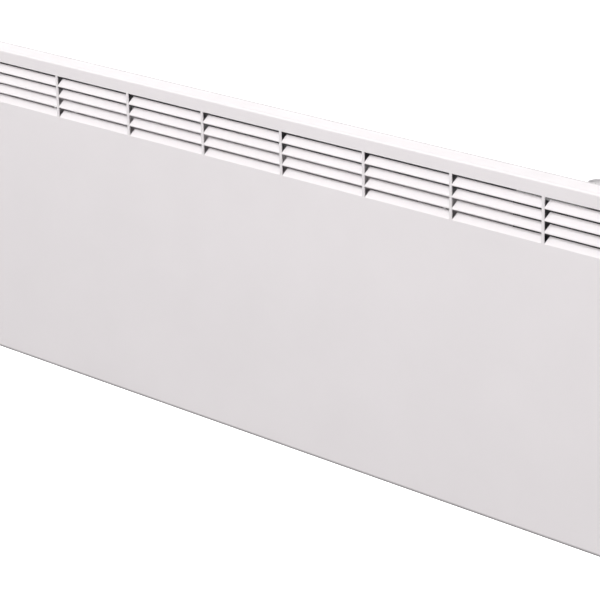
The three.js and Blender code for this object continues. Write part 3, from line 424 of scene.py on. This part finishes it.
def ceramic():
    paint = Paint("ceramic", (0.8, 0.76, 0.68), 0.55)
    paint.set_colour(paint.tint(paint.noise(160, 5), 0.06))
    paint.set_roughness(paint.span(paint.noise(500, 3), 0.45, 0.7))
    paint.bump((paint.noise(1800, 3), 0.03))
    paint.shader.inputs["Subsurface Weight"].default_value = 0.05
    return paint.material


def plastic(name, colour, roughness=0.42, grain=0.018):
    """Moulded plastic with a spark-eroded grain and faint flow clouds."""
    paint = Paint(name, colour, roughness)
    clouds = paint.tint(paint.noise(22, 4), 0.025)
    rubbed = tuple(0.82 * c + 0.06 for c in colour)
    wear = paint.span(paint.worn_edges(0.7, 320), 0, 0.6, 0, 1)
    paint.set_colour(paint.blend(clouds, rubbed, wear))
    paint.set_roughness(paint.span(paint.noise(140, 4), roughness - 0.07, roughness + 0.1))
    paint.bump((paint.noise(1500, 3), grain), (paint.cells(2600, output="Distance"), grain * 0.5))
    return paint.material


def circuit_board():
    """Solder mask over a net of tracks."""
    paint = Paint("circuit_board", (0.02, 0.15, 0.07), 0.35)
    brick = paint.add("ShaderNodeTexBrick")
    brick.inputs["Scale"].default_value = 130
    brick.inputs["Mortar Size"].default_value = 0.05
    brick.inputs["Color1"].default_value = (0.015, 0.12, 0.055, 1)
    brick.inputs["Color2"].default_value = (0.03, 0.17, 0.08, 1)
    brick.inputs["Mortar"].default_value = (0.06, 0.26, 0.12, 1)
    paint.link(paint.place, brick.inputs["Vector"])
    paint.set_colour(brick.outputs["Color"])
    paint.set_roughness(paint.span(paint.noise(300, 3), 0.25, 0.45))
    paint.bump((brick.outputs["Fac"], 0.04))
    return paint.material


def red_lens():
    paint = Paint("indicator_red", (0.75, 0.07, 0.03), 0.12)
    paint.set_colour(paint.tint(paint.noise(300, 2), 0.06))
    paint.set_roughness(paint.span(paint.noise(700, 3), 0.08, 0.2))
    paint.shader.inputs["Transmission Weight"].default_value = 0.55
    paint.bump((paint.cells(1100, output="Distance"), 0.04))
    return paint.material


def rubber():
    """Black rubber with a bloom of dust."""
    paint = Paint("black_rubber", (0.035, 0.035, 0.037), 0.8)
    dust = paint.noise(70, 5)
    paint.set_colour(paint.ramp(dust, [(0.4, (0.028, 0.028, 0.03)), (0.75, (0.085, 0.083, 0.08))]))
    paint.set_roughness(paint.span(dust, 0.7, 0.92))
    paint.bump((paint.noise(900, 4), 0.05))
    return paint.material


def sleeve(name, colour, braid=False):
    """Insulated lead: smooth plastic, or a woven glass-fibre sleeve."""
    paint = Paint(name, colour, 0.45)
    paint.set_colour(paint.tint(paint.noise(120, 4), 0.08))
    paint.set_roughness(paint.span(paint.noise(400, 3), 0.38, 0.6))
    if braid:
        weave = paint.add("ShaderNodeTexChecker")
        weave.inputs["Scale"].default_value = 1600
        paint.link(paint.place, weave.inputs["Vector"])
        paint.bump((weave.outputs["Fac"], 0.08))
    else:
        paint.bump((paint.noise(900, 2), 0.02))
    return paint.material


PAINTS = {
    "white_powder_coat": powder_coat(),
    "galvanised_sheet": galvanised(),
    "extruded_aluminium": extruded_aluminium(),
    "stainless_sheath": stainless(),
    "ceramic": ceramic(),
    "white_plastic": plastic("white_plastic", (0.66, 0.65, 0.655)),
    "grey_plastic": plastic("grey_plastic", (0.5, 0.495, 0.5), 0.48),
    "black_plastic": plastic("black_plastic", (0.028, 0.028, 0.03), 0.4),
    "circuit_board": circuit_board(),
    "indicator_red": red_lens(),
    "black_rubber": rubber(),
    "zinc_screw": zinc(),
    "brown_lead": sleeve("brown_lead", (0.16, 0.075, 0.035)),
    "blue_lead": sleeve("blue_lead", (0.04, 0.12, 0.42)),
    "white_lead": sleeve("white_lead", (0.72, 0.7, 0.64), True),
    "green_lead": sleeve("green_lead", (0.2, 0.42, 0.05)),
    "black_lead": sleeve("black_lead", (0.03, 0.03, 0.034)),
}
SLOT_OF = {row["node"]: row["material_slot"] for row in frame["record"]["subparts"]}

# ---------------------------------------------------------------- mesh helpers


class Sheet:
    """Collects faces by their corners, in mm, and welds corners that coincide."""

    def __init__(self):
        self.mesh = bmesh.new()
        self.known = {}

    def corner(self, point):
        key = tuple(round(c, 3) for c in point)
        if key not in self.known:
            self.known[key] = self.mesh.verts.new([c * MM for c in key])
        return self.known[key]

    def face(self, *points):
        corners = []
        for point in points:
            corner = self.corner(point)
            if corner not in corners:
                corners.append(corner)
        if len(corners) > 2 and not self.mesh.faces.get(corners):
            self.mesh.faces.new(corners)

    def strip(self, chain_a, chain_b):
        """Quads between two chains of points of the same length."""
        for i in range(len(chain_a) - 1):
            self.face(chain_a[i], chain_a[i + 1], chain_b[i + 1], chain_b[i])


def piece_from(bm, name, nodes, body, slot_name):
    """Makes an object that stands for the CAD nodes and rides on a body."""
    mesh = bpy.data.meshes.new(name)
    bm.to_mesh(mesh)
    bm.free()
    piece = bpy.data.objects.new(name, mesh)
    bpy.context.scene.collection.objects.link(piece)
    mesh.materials.append(PAINTS[slot_name])
    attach(piece, body)
    if nodes:
        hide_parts(*nodes)
    return piece


def settle(piece, modifiers, sharp_angle=35):
    """Applies the modifiers, then shades smooth with sharp edges over the angle."""
    for kind, settings in modifiers:
        modifier = piece.modifiers.new(kind.lower(), kind)
        for key, value in settings.items():
            setattr(modifier, key, value)
    graph = bpy.context.evaluated_depsgraph_get()
    made = bpy.data.meshes.new_from_object(piece.evaluated_get(graph))
    piece.modifiers.clear()
    piece.data = made
    shape = bmesh.new()
    shape.from_mesh(made)
    limit = math.radians(sharp_angle)
    for face in shape.faces:
        face.smooth = True
    for edge in shape.edges:
        edge.smooth = len(edge.link_faces) == 2 and edge.calc_face_angle(0) < limit
    shape.to_mesh(made)
    shape.free()
    weigh = piece.modifiers.new("weigh", "WEIGHTED_NORMAL")
    weigh.keep_sharp = True
    graph = bpy.context.evaluated_depsgraph_get()
    weighed = bpy.data.meshes.new_from_object(piece.evaluated_get(graph))
    piece.modifiers.clear()
    piece.data = weighed
    return piece


def rounded_edges(width, segments=2, angle=40):
    return ("BEVEL", {
        "width": width * MM,
        "segments": segments,
        "limit_method": "ANGLE",
        "angle_limit": math.radians(angle),
        "use_clamp_overlap": True,
    })


def thickness(amount):
    return ("SOLIDIFY", {"thickness": amount * MM, "offset": -1, "use_even_offset": True})


def face_towards(sheet, direction):
    """Makes the faces consistent, with the largest ones pointing along direction."""
    bm = sheet.mesh
    bmesh.ops.recalc_face_normals(bm, faces=bm.faces[:])
    largest = max(bm.faces, key=lambda f: f.calc_area())
    if largest.normal.dot(Vector(direction)) < 0:
        bmesh.ops.reverse_faces(bm, faces=bm.faces[:])
    return bm


def body_of(node):
    return frame["nodes"][node]["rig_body"]


def box_mm(node):
    low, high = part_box(node)
    return low / MM, high / MM


def start_of(low, high, axis):
    """The middle of the box's low end along an axis."""
    place = [(a + b) / 2 for a, b in zip(low, high)]
    along = "xyz".index(axis)
    place[along] = low[along]
    return tuple(place)


def keep_inside(piece, node):
    """Puts vertices that the modifiers pushed out of the CAD node's box back onto it."""
    low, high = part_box(node)
    for vertex in piece.data.vertices:
        vertex.co = [min(max(c, a), b) for c, a, b in zip(vertex.co, low, high)]


# ---------------------------------------------------------------- front cover

COLUMNS = 10
ROWS = 4
COLUMN_PITCH = 125
ROW_PITCH = 13.2
MULLION = 3.5
STRIP = 1.5
FIRST_SLOT_TOP = 183.2
SLAT_RISE = 7.3
SLAT_REACH = 6.8
SLAT_BEND = 1.5
SLAT_SIDE_GAP = 0.3
SLAT_TAPER = 2.2
COVER_BEND = 3.0
COVER_SHEET = 1.2
RETURN_DEPTH = 27.5
HEM = 5.5
HEM_BEND = 2.0
COVER_LIP = 17.5
LIP_RELIEF = 0.4
BEND_STEPS = 7


def arc(centre, radius, start, end, steps):
    """Points of an arc in a plane, angles in degrees."""
    points = []
    for k in range(steps + 1):
        angle = math.radians(start + (end - start) * k / steps)
        points.append((centre[0] + radius * math.cos(angle), centre[1] + radius * math.sin(angle)))
    return points


def front_cover():
    """The folded sheet: face, louvres, bend all round, end walls with lips, returns with hems."""
    low, high = box_mm("front_cover")
    half, top, front, back = high.x, high.z, low.y, high.y
    sheet = Sheet()
    slat_turn = math.degrees(math.atan2(SLAT_REACH, SLAT_RISE))
    tangent = SLAT_BEND * math.tan(math.radians(slat_turn / 2))
    slots = []
    for column in range(COLUMNS):
        left = (column - COLUMNS / 2) * COLUMN_PITCH + MULLION / 2
        slots.append((left, left + COLUMN_PITCH - MULLION))
    rows = []
    for row in range(ROWS):
        upper = FIRST_SLOT_TOP - row * ROW_PITCH
        rows.append((upper - ROW_PITCH + STRIP, upper))

    flat_x, flat_z = half - COVER_BEND, top - COVER_BEND
    lip_x = half - COVER_LIP
    inner_x = {-lip_x, lip_x}
    for left, right in slots:
        inner_x |= {left, left + SLAT_SIDE_GAP, right - SLAT_SIDE_GAP, right}
    inner_x = sorted(inner_x)
    lip_z = flat_z - LIP_RELIEF
    inner_z = {-lip_z, lip_z, 0}
    for lower, upper in rows:
        inner_z |= {lower - tangent, lower, upper}
    inner_z = sorted(z for z in inner_z if abs(z) < flat_z)

    # the flat face, with an opening at each slot and each louvre's foot
    xs = [-flat_x, *inner_x, flat_x]
    zs = [-flat_z, *inner_z, flat_z]
    for x0, x1 in zip(xs, xs[1:]):
        middle_x = (x0 + x1) / 2
        slot = next((s for s in slots if s[0] < middle_x < s[1]), None)
        in_slat = slot is not None and slot[0] + SLAT_SIDE_GAP < middle_x < slot[1] - SLAT_SIDE_GAP
        for z0, z1 in zip(zs, zs[1:]):
            middle_z = (z0 + z1) / 2
            in_opening = any(lower < middle_z < upper for lower, upper in rows)
            in_foot = any(lower - tangent < middle_z < lower for lower, upper in rows)
            if (slot is not None and in_opening) or (in_slat and in_foot):
                continue
            sheet.face((x0, front, z0), (x1, front, z0), (x1, front, z1), (x0, front, z1))

    # louvres, bent in from the lower edge of each slot
    for lower, upper in rows:
        foot = lower - tangent
        bend = arc((front + SLAT_BEND, foot), SLAT_BEND, 180, 180 - slat_turn, 5)
        chain = [*bend, (front + SLAT_REACH, lower + SLAT_RISE)]
        for left, right in slots:
            start, end = left + SLAT_SIDE_GAP - SAME, right - SLAT_SIDE_GAP + SAME
            across = [x for x in inner_x if start <= x <= end]
            tips = [across[0] + SLAT_TAPER, *across[1:-1], across[-1] - SLAT_TAPER]
            for (y0, z0), (y1, z1) in zip(chain, chain[1:]):
                ends = tips if (y1, z1) == chain[-1] else across
                sheet.strip([(x, y0, z0) for x in across], [(x, y1, z1) for x in ends])

    # the bend all round the face, as rings that grow towards the walls
    def ring_sides(x_out, y, z_out):
        across = [-x_out, *inner_x, x_out]
        upright = [-z_out, *inner_z, z_out]
        return {
            "top": [(x, y, z_out) for x in across],
            "bottom": [(x, y, -z_out) for x in across],
            "left": [(-x_out, y, z) for z in upright],
            "right": [(x_out, y, z) for z in upright],
        }

    rings = []
    for k in range(BEND_STEPS + 1):
        angle = math.radians(90 * k / BEND_STEPS)
        out = COVER_BEND * math.sin(angle)
        rings.append(ring_sides(flat_x + out, front + COVER_BEND * (1 - math.cos(angle)), flat_z + out))
    for a, b in zip(rings, rings[1:]):
        for side in a:
            sheet.strip(a[side], b[side])

    # walls behind the bend: the ends run to the back, the top and bottom stop at a hem
    rear = front + RETURN_DEPTH
    hem_start = rear - HEM_BEND
    wall_end = back - HEM_BEND
    upright = [-top, *inner_z, top]
    walls = [front + COVER_BEND, hem_start, wall_end]
    for side in (-1, 1):
        for y0, y1 in zip(walls, walls[1:]):
            sheet.strip([(side * half, y0, z) for z in upright], [(side * half, y1, z) for z in upright])
        lip = arc((half - HEM_BEND, wall_end), HEM_BEND, 0, 90, 4)
        lip_chain = [*lip, (lip_x, back)]
        for (x0, y0), (x1, y1) in zip(lip_chain, lip_chain[1:]):
            sheet.strip([(side * x0, y0, z) for z in inner_z], [(side * x1, y1, z) for z in inner_z])
        for level in (-1, 1):
            z = level * top
            ends = [x for x in [-half, *inner_x, half] if side * x >= lip_x - SAME]
            for y0, y1 in zip(walls, [*walls[1:], back]):
                sheet.strip([(x, y0, z) for x in ends], [(x, y1, z) for x in ends])
    middle = [x for x in inner_x if abs(x) <= lip_x + SAME]
    for level in (-1, 1):
        hem = [(y, level * (top - HEM_BEND + z)) for y, z in arc((hem_start, 0), HEM_BEND, 90, 0, 4)]
        chain = [(front + COVER_BEND, level * top), *hem, (rear, level * (top - HEM))]
        for (y0, z0), (y1, z1) in zip(chain, chain[1:]):
            sheet.strip([(x, y0, z0) for x in middle], [(x, y1, z1) for x in middle])

    bm = face_towards(sheet, (0, -1, 0))
    cover = piece_from(bm, "front_cover_skin", ["front_cover"], "heater", "white_powder_coat")
    settle(cover, [thickness(COVER_SHEET), rounded_edges(0.22, 2, 50)], 40)
    keep_inside(cover, "front_cover")


# ---------------------------------------------------------------- eased copies of flat-sided nodes


def eased(node, width=0.25, segments=2, angle=28):
    """A copy of a CAD node with its coplanar faces joined and its edges rounded."""
    shape = bmesh.new()
    shape.from_mesh(frame["nodes"][node].data)
    bmesh.ops.remove_doubles(shape, verts=shape.verts[:], dist=WELD)
    bmesh.ops.dissolve_limit(
        shape,
        angle_limit=math.radians(1),
        verts=shape.verts[:],
        edges=shape.edges[:],
    )
    piece = piece_from(shape, node + "_skin", [node], body_of(node), SLOT_OF[node])
    return settle(piece, [rounded_edges(width, segments, angle)], angle)


def eased_lead(node):
    """A lead whose eight-sided tube is rounded by subdivision."""
    shape = bmesh.new()
    shape.from_mesh(frame["nodes"][node].data)
    bmesh.ops.remove_doubles(shape, verts=shape.verts[:], dist=WELD)
    bmesh.ops.join_triangles(
        shape,
        faces=shape.faces[:],
        angle_face_threshold=0.6,
        angle_shape_threshold=1.0,
    )
    piece = piece_from(shape, node + "_sleeve", [node], body_of(node), SLOT_OF[node])
    return settle(piece, [("SUBSURF", {"levels": 2, "render_levels": 2})], 60)


# ---------------------------------------------------------------- turned pieces

AXES = {
    "x": Matrix(((0, 0, 1), (1, 0, 0), (0, 1, 0))),
    "y": Matrix(((0, 1, 0), (0, 0, 1), (1, 0, 0))),
    "z": Matrix(((1, 0, 0), (0, 1, 0), (0, 0, 1))),
}


def turned(profile, axis, centre, steps=48, radius_of=None):
    """Sweeps a profile of (radius, height) about an axis; radius_of(k, r) may flute it."""
    sheet = Sheet()
    frame_turn = AXES[axis]

    def at(k, r, h):
        angle = 2 * math.pi * (k % steps) / steps
        radius = radius_of(k % steps, r) if radius_of else r
        local = Vector((radius * math.cos(angle), radius * math.sin(angle), h))
        return tuple(frame_turn @ local + Vector(centre))

    for k in range(steps):
        for (r0, h0), (r1, h1) in zip(profile, profile[1:]):
            sheet.face(at(k, r0, h0), at(k + 1, r0, h0), at(k + 1, r1, h1), at(k, r1, h1))
    bmesh.ops.recalc_face_normals(sheet.mesh, faces=sheet.mesh.faces[:])
    return sheet.mesh


def softened(profile, radius, steps=3):
    """Rounds the inner corners of a profile."""
    points = [profile[0]]
    for before, corner, after in zip(profile, profile[1:], profile[2:]):
        here = Vector(corner)
        to_before, to_after = Vector(before) - here, Vector(after) - here
        reach = min(radius, to_before.length * 0.45, to_after.length * 0.45)
        start = here + to_before.normalized() * reach
        end = here + to_after.normalized() * reach
        for k in range(steps + 1):
            t = k / steps
            point = start * (1 - t) ** 2 + here * 2 * t * (1 - t) + end * t**2
            points.append(tuple(point))
    points.append(profile[-1])
    return points


def dome_profile(radius, foot, top):
    """A quarter of an ellipse, from the radius at its foot to the axis at its top."""
    angles = [math.radians(a) for a in range(0, 91, 15)]
    return [(radius * math.cos(a), foot + (top - foot) * math.sin(a)) for a in angles]


def turned_piece(name, nodes, profile, axis, centre, softness=0.4, steps=48, radius_of=None):
    """A turned shape with soft corners that stands for nodes, on the first one's body and slot."""
    shape = turned(softened(profile, softness), axis, centre, steps, radius_of)
    piece = piece_from(shape, name, nodes, body_of(nodes[0]), SLOT_OF[nodes[0]])
    return settle(piece, [], 40)


# ---------------------------------------------------------------- thermostat dial

DIAL_FLUTES = 18
DIAL_FLUTE = 0.55
FLUTE_STEPS = 8
DIAL_RIM = 2.0
DIAL_DISH = 2.2
SHADE_LINER_SHEET = 0.35
POINTER_HALF = 0.9
TICKS = 10
TICK_GAP = 1.2
TICK_LONG, TICK_SHORT = 2.6, 1.7
TICK_HALF = 0.35
TICK_RISE = 0.35


def thermostat_dial():
    """A fluted knob with a sunk top, a pointer in it and a scale around it."""
    low, high = box_mm("thermostat_dial")
    centre = start_of(low, high, "z")
    radius = (high.x - low.x) / 2
    height = high.z - low.z
    floor = height - DIAL_DISH
    fluted_from = radius - 1.2

    def fluted(k, r):
        wave = 0.5 - 0.5 * math.cos(2 * math.pi * k / FLUTE_STEPS)
        share = min(1, max(0, (r - fluted_from) / 0.8))
        return r - DIAL_FLUTE * share * wave**2

    profile = [
        (radius - 2.4, 0.3),
        (radius - 1, 0),
        (radius, 1.2),
        (radius, height - 1),
        (radius - 0.7, height),
        (radius - DIAL_RIM + 0.2, height),
        (radius - DIAL_RIM, floor),
        (3, floor),
        (0, floor),
    ]
    steps = DIAL_FLUTES * FLUTE_STEPS
    turned_piece("thermostat_dial_knob", ["thermostat_dial"], profile, "z", centre, 0.35, steps, fluted)
    x, y, bottom = centre
    pointer(x, y - radius + DIAL_RIM + 0.1, y - 3, bottom + floor - 0.3, bottom + height - 0.6)
    # painted shade: a darker grey liner on the dish's inner wall, so that the wall reads darker than the
    # dish floor, as shade in the sunk top would make it
    outer = radius - DIAL_RIM - 0.05
    inner = outer - SHADE_LINER_SHEET
    shade_liner = [(outer, height - 0.25), (inner, height - 0.25), (inner, floor + 0.05), (outer, floor - 0.2)]
    ring = turned([*shade_liner, shade_liner[0]], "z", centre, 72)
    settle(piece_from(ring, "dial_liner_painted_shade", [], "dial", "grey_plastic"), [], 40)
    dial_scale(x, y, radius)


def pointer(x, y0, y1, z0, z1):
    """The raised line on the dial's face, with rounded ends."""
    half = POINTER_HALF
    outline = [(x + px, y0 + half + py) for px, py in arc((0, 0), half, 180, 360, 10)]
    outline += [(x + px, y1 - half + py) for px, py in arc((0, 0), half, 0, 180, 10)]
    sheet = Sheet()
    count = len(outline)
    sheet.face(*[(px, py, z1) for px, py in outline])
    for i in range(count):
        (xa, ya), (xb, yb) = outline[i], outline[(i + 1) % count]
        sheet.face((xa, ya, z0), (xb, yb, z0), (xb, yb, z1), (xa, ya, z1))
    bmesh.ops.recalc_face_normals(sheet.mesh, faces=sheet.mesh.faces[:])
    piece = piece_from(sheet.mesh, "dial_pointer", [], "dial", "grey_plastic")
    settle(piece, [rounded_edges(0.25, 2, 50)], 40)


def dial_scale(x, y, radius):
    """Raised ticks on the control housing around the dial, over the 270 degrees it turns through."""
    z0 = box_mm("control_housing")[1].z - 0.1
    near = radius + TICK_GAP
    sheet = Sheet()
    for i in range(TICKS):
        angle = math.radians(-90 - 270 * i / (TICKS - 1))
        out = Vector((math.cos(angle), math.sin(angle), 0))
        side = Vector((-out.y, out.x, 0))
        middle = Vector((x, y, z0))
        far = near + (TICK_LONG if i % 3 == 0 else TICK_SHORT)
        z = Vector((0, 0, TICK_RISE))
        corners = []
        for r, s in ((near, -1), (far, -1), (far, 1), (near, 1)):
            corners.append(middle + out * r + side * TICK_HALF * s)
        sheet.face(*[tuple(c + z) for c in corners])
        for a, b in zip(corners, corners[1:] + corners[:1]):
            sheet.face(tuple(a), tuple(b), tuple(b + z), tuple(a + z))
    bmesh.ops.recalc_face_normals(sheet.mesh, faces=sheet.mesh.faces[:])
    piece = piece_from(sheet.mesh, "dial_scale", [], "heater", "white_plastic")
    settle(piece, [rounded_edges(0.08, 1, 50)], 40)


# ---------------------------------------------------------------- switch and indicator

ROCKER_TILT = -9  # degrees at rest
ROCKER_FOOT = 4.4
ROCKER_CREST = 4.6
ROCKER_DISH = 1.9
ROCKER_STEPS = 12
LENS_RIM = 0.9


def switch_rocker():
    """A rocker with a dished top and rounded corners, tilted as the frame has it."""
    low, high = box_mm("switch_rocker")
    joint = next(j for j in frame["joints"] if j["name"] == "rocker_press")
    pivot = Vector(joint["pos_m"]) / MM
    lean = math.radians(ROCKER_TILT)
    length = (high.x - low.x) / 2
    top = []
    for k in range(ROCKER_STEPS + 1):
        from_middle = abs(2 * k - ROCKER_STEPS) / ROCKER_STEPS
        x = -length + 2 * length * k / ROCKER_STEPS
        top.append((x, ROCKER_CREST + ROCKER_DISH * from_middle**1.6))
    outline = [(-length * 0.8, -ROCKER_FOOT), (length * 0.8, -ROCKER_FOOT), *reversed(top)]
    turn = Matrix.Rotation(lean, 3, "Y")
    half = (high.y - low.y) / 2
    sheet = Sheet()

    def at(x, y, z):
        return tuple(turn @ Vector((x, y, z)) + pivot)

    for i in range(len(outline)):
        (xa, za), (xb, zb) = outline[i], outline[(i + 1) % len(outline)]
        sheet.face(at(xa, -half, za), at(xb, -half, zb), at(xb, half, zb), at(xa, half, za))
    for side in (-half, half):
        sheet.face(*[at(x, side, z) for x, z in outline])
    bmesh.ops.recalc_face_normals(sheet.mesh, faces=sheet.mesh.faces[:])
    piece = piece_from(sheet.mesh, "switch_rocker_skin", ["switch_rocker"], "rocker", "black_plastic")
    settle(piece, [rounded_edges(0.5, 3, 50)], 35)


def indicator_lens():
    """A domed lens with a rim that sits on the control housing."""
    low, high = box_mm("indicator_lens")
    centre = ((low.x + high.x) / 2, (low.y + high.y) / 2, box_mm("control_housing")[1].z)
    rim = (high.x - low.x) / 2
    foot, top = low.z - centre[2], high.z - centre[2]
    profile = [(0, foot), (rim - 1, foot), (rim - 1, 0.3), (rim, 0.3), (rim, LENS_RIM)]
    profile += dome_profile(rim * 0.92, LENS_RIM, top)
    turned_piece("indicator_lens_dome", ["indicator_lens"], profile, "z", centre, 0.15)


# ---------------------------------------------------------------- screws

SCREWS = [name for name in frame["nodes"] if "_screw_" in name]
HEAD_HEIGHT = 1.2
THREAD_TURNS = 7
THREAD_CREST = 1.62
THREAD_ROOT = 1.28


def screw_mesh():
    """A pan head, seen from the wall side, and a threaded shank; the cross recess is cut in screws()."""
    low, high = box_mm(SCREWS[0])
    head = (high.x - low.x) / 2
    length = high.y - low.y
    under = length - HEAD_HEIGHT
    thread = []
    steps = THREAD_TURNS * 4
    for k in range(steps + 1):
        h = 2 + (under - 2.4) * k / steps
        thread.append((THREAD_CREST if k % 4 in (0, 1) else THREAD_ROOT, h))
    dome = dome_profile(head, under + 0.35, length)
    profile = [(0, 0), (1.1, 1.6), *thread, (1.6, under), (head, under), *dome]
    shape = turned(profile, "y", (0, 0, 0), 32)
    mesh = bpy.data.meshes.new("screw")
    shape.to_mesh(mesh)
    shape.free()
    return mesh, head, length


def cross_cutter(head, length):
    """Two tapered blades that cut the recess in a screw's head."""
    sheet = Sheet()
    for turn in (0, 90):
        c, s = math.cos(math.radians(turn)), math.sin(math.radians(turn))

        def at(u, v, y):
            return (u * c - v * s, y, u * s + v * c)

        def corners(wide, slim, y):
            return [at(u * wide, v * slim, y) for u, v in ((-1, -1), (1, -1), (1, 1), (-1, 1))]

        tops = corners(head * 0.55, head * 0.12, length + 0.5)
        floors = corners(head * 0.22, head * 0.084, length - 1.6)
        sheet.face(*tops)
        sheet.face(*reversed(floors))
        for i in range(4):
            j = (i + 1) % 4
            sheet.face(floors[i], floors[j], tops[j], tops[i])
    bmesh.ops.recalc_face_normals(sheet.mesh, faces=sheet.mesh.faces[:])
    mesh = bpy.data.meshes.new("cross")
    sheet.mesh.to_mesh(mesh)
    sheet.mesh.free()
    return mesh


def screws():
    """One screw is made and cut once, then copied to every place with a turn of its own."""
    mesh, head, length = screw_mesh()
    blank = bpy.data.objects.new("screw_blank", mesh)
    cutter = bpy.data.objects.new("screw_cross", cross_cutter(head, length))
    for helper in (blank, cutter):
        bpy.context.scene.collection.objects.link(helper)
    cut = blank.modifiers.new("cross", "BOOLEAN")
    cut.operation = "DIFFERENCE"
    cut.solver = "EXACT"
    cut.use_self = True
    cut.object = cutter
    made = bpy.data.meshes.new_from_object(blank.evaluated_get(bpy.context.evaluated_depsgraph_get()))
    for helper in (blank, cutter):
        bpy.data.objects.remove(helper)
    for name in SCREWS:
        low, high = box_mm(name)
        shape = bmesh.new()
        shape.from_mesh(made)
        spin = Matrix.Rotation(random.uniform(0, math.pi / 2), 4, "Y")
        place = Vector(((low.x + high.x) / 2, low.y, (low.z + high.z) / 2)) * MM
        bmesh.ops.transform(shape, matrix=Matrix.Translation(place) @ spin, verts=shape.verts[:])
        piece = piece_from(shape, name + "_threaded", [name], body_of(name), SLOT_OF[name])
        settle(piece, [], 40)


# ---------------------------------------------------------------- pieces on the rear panel

BUMPER_BODY = 31
BUMPER_RIBS = 4
BUMPER_RIB_PITCH = 5.6
GLAND_BORE = 4.6
GLAND_THREAD = 7.9
GLAND_GRIP = 9.4
GLAND_HEAD = 14.7


def wall_bumper(node):
    """A ribbed rubber bumper that rests on the wall."""
    low, high = box_mm(node)
    centre = start_of(low, high, "y")
    flange = (high.x - low.x) / 2
    length = high.y - low.y
    start = length - BUMPER_BODY
    profile = [(0, 0), (3, 1), (4.4, 4.7), (4.4, 5.7), (3, 5.7), (3, start), (flange, start)]
    for k in range(BUMPER_RIBS):
        h = start + 2.2 + k * BUMPER_RIB_PITCH
        r = flange - 0.4 - k * 0.5
        profile += [(r, h), (r - 0.9, h + 0.8), (r - 0.9, h + 2.6), (r - 0.2, h + 3.4)]
    profile += [(flange - 2.4, length - 2), (flange - 3.6, length), (0, length)]
    turned_piece(node + "_rubber", [node], profile, "y", centre, 0.5)


def cable_gland():
    """A flanged gland with gripping ribs."""
    low, high = box_mm("cable_gland")
    centre = start_of(low, high, "y")
    flange = (high.x - low.x) / 2
    length = high.y - low.y
    seat = length - GLAND_HEAD
    profile = [
        (GLAND_BORE, length - 0.2),
        (GLAND_BORE, 0),
        (GLAND_THREAD, 0),
        (GLAND_THREAD, seat),
        (flange, seat),
        (flange, seat + 2.4),
        (GLAND_GRIP, seat + 4.4),
        (GLAND_GRIP, length - 2.4),
        (GLAND_THREAD - 0.3, length),
        (GLAND_BORE, length),
    ]

    def ribbed(k, r):
        on_grip = GLAND_GRIP - 0.4 < r < GLAND_GRIP + 0.2
        return r - 0.5 if on_grip and k % 6 < 3 else r

    turned_piece("cable_gland_ribbed", ["cable_gland"], profile, "y", centre, 0.3, 72, ribbed)


def room_sensor():
    """A bulb with rounded ends."""
    low, high = box_mm("room_sensor")
    centre = start_of(low, high, "x")
    radius = (high.z - low.z) / 2
    length = high.x - low.x
    profile = [(0, 0), (radius * 0.7, 0.5), (radius, 2.4)]
    profile += [(radius, length - 2.6), (1.6, length - 0.3), (0, length)]
    turned_piece("room_sensor_bulb", ["room_sensor"], profile, "x", centre, 0.6, 32)


# ---------------------------------------------------------------- heating elements

PIN = 2.0
PIN_LENGTH = 6
BUSH_BORE = 4.2
BUSH_NECK = 6.9
BUSH_NECK_LENGTH = 5.8


def element_pieces(level):
    """One heating element: its profile, its rod with a terminal pin at each end, and two bushes."""
    eased(f"{level}_element_profile", 0.3)
    node = f"{level}_element_rod"
    low, high = box_mm(node)
    centre = start_of(low, high, "x")
    radius, length = (high.z - low.z) / 2, high.x - low.x
    first, last = PIN_LENGTH, length - PIN_LENGTH
    profile = [(0, 0), (PIN, 0), (PIN, first), (radius - 0.5, first), (radius, first + 1)]
    profile += [(radius, last - 1), (radius - 0.5, last), (PIN, last), (PIN, length), (0, length)]
    turned_piece(node + "_sheath", [node], profile, "x", centre, 0.4, 32)
    for side in ("left", "right"):
        node = f"{level}_{side}_bush"
        low, high = box_mm(node)
        centre = start_of(low, high, "x")
        flange, length = (high.z - low.z) / 2, high.x - low.x
        profile = [
            (BUSH_BORE, 0.2),
            (BUSH_BORE, 0),
            (BUSH_NECK, 0),
            (BUSH_NECK, BUSH_NECK_LENGTH),
            (flange, BUSH_NECK_LENGTH),
            (flange, length),
            (BUSH_BORE, length),
            (BUSH_BORE, 0.2),
        ]
        turned_piece(node + "_fired", [node], profile, "x", centre, 0.6, 40)


# ---------------------------------------------------------------- the rest of the frame


def dress_cad_nodes():
    """Every CAD node that stays gets its slot's paint."""
    for name, node in frame["nodes"].items():
        node.data.materials.clear()
        node.data.materials.append(PAINTS[SLOT_OF[name]])


PLAIN_EASED = {
    "wall_bracket": 0.35,
    "left_turning_lock": 0.7,
    "right_turning_lock": 0.7,
    "rear_panel": 0.2,
    "air_deflector": 0.2,
    "left_element_bracket": 0.2,
    "control_partition": 0.2,
    "left_element_support": 0.2,
    "right_element_support": 0.2,
    "thermal_cutout": 0.3,
    "cutout_clip": 0.2,
    "control_housing": 0.8,
    "control_housing_lid": 0.3,
    "control_board": 0.15,
    "potentiometer": 0.4,
    "dial_shaft": 0.2,
    "switch_frame": 0.5,
    "relay": 0.5,
    "terminal_block": 0.4,
    "gland_nut": 0.5,
    "earth_tag": 0.2,
    "sensor_clip": 0.25,
}


add_camera()
add_world()
add_floor()
add_area("key", KEY_PLACE, KEY_TARGET, KEY_SIZE, KEY_POWER)
bpy.context.scene.view_settings.view_transform = "Standard"

dress_cad_nodes()
front_cover()
thermostat_dial()
switch_rocker()
indicator_lens()
screws()
for side in ("left", "right"):
    wall_bumper(f"{side}_wall_bumper")
cable_gland()
room_sensor()
for level in ("upper", "lower"):
    element_pieces(level)
for node, width in PLAIN_EASED.items():
    eased(node, width)
for node in [name for name in frame["nodes"] if name.endswith("_lead")]:
    eased_lead(node)
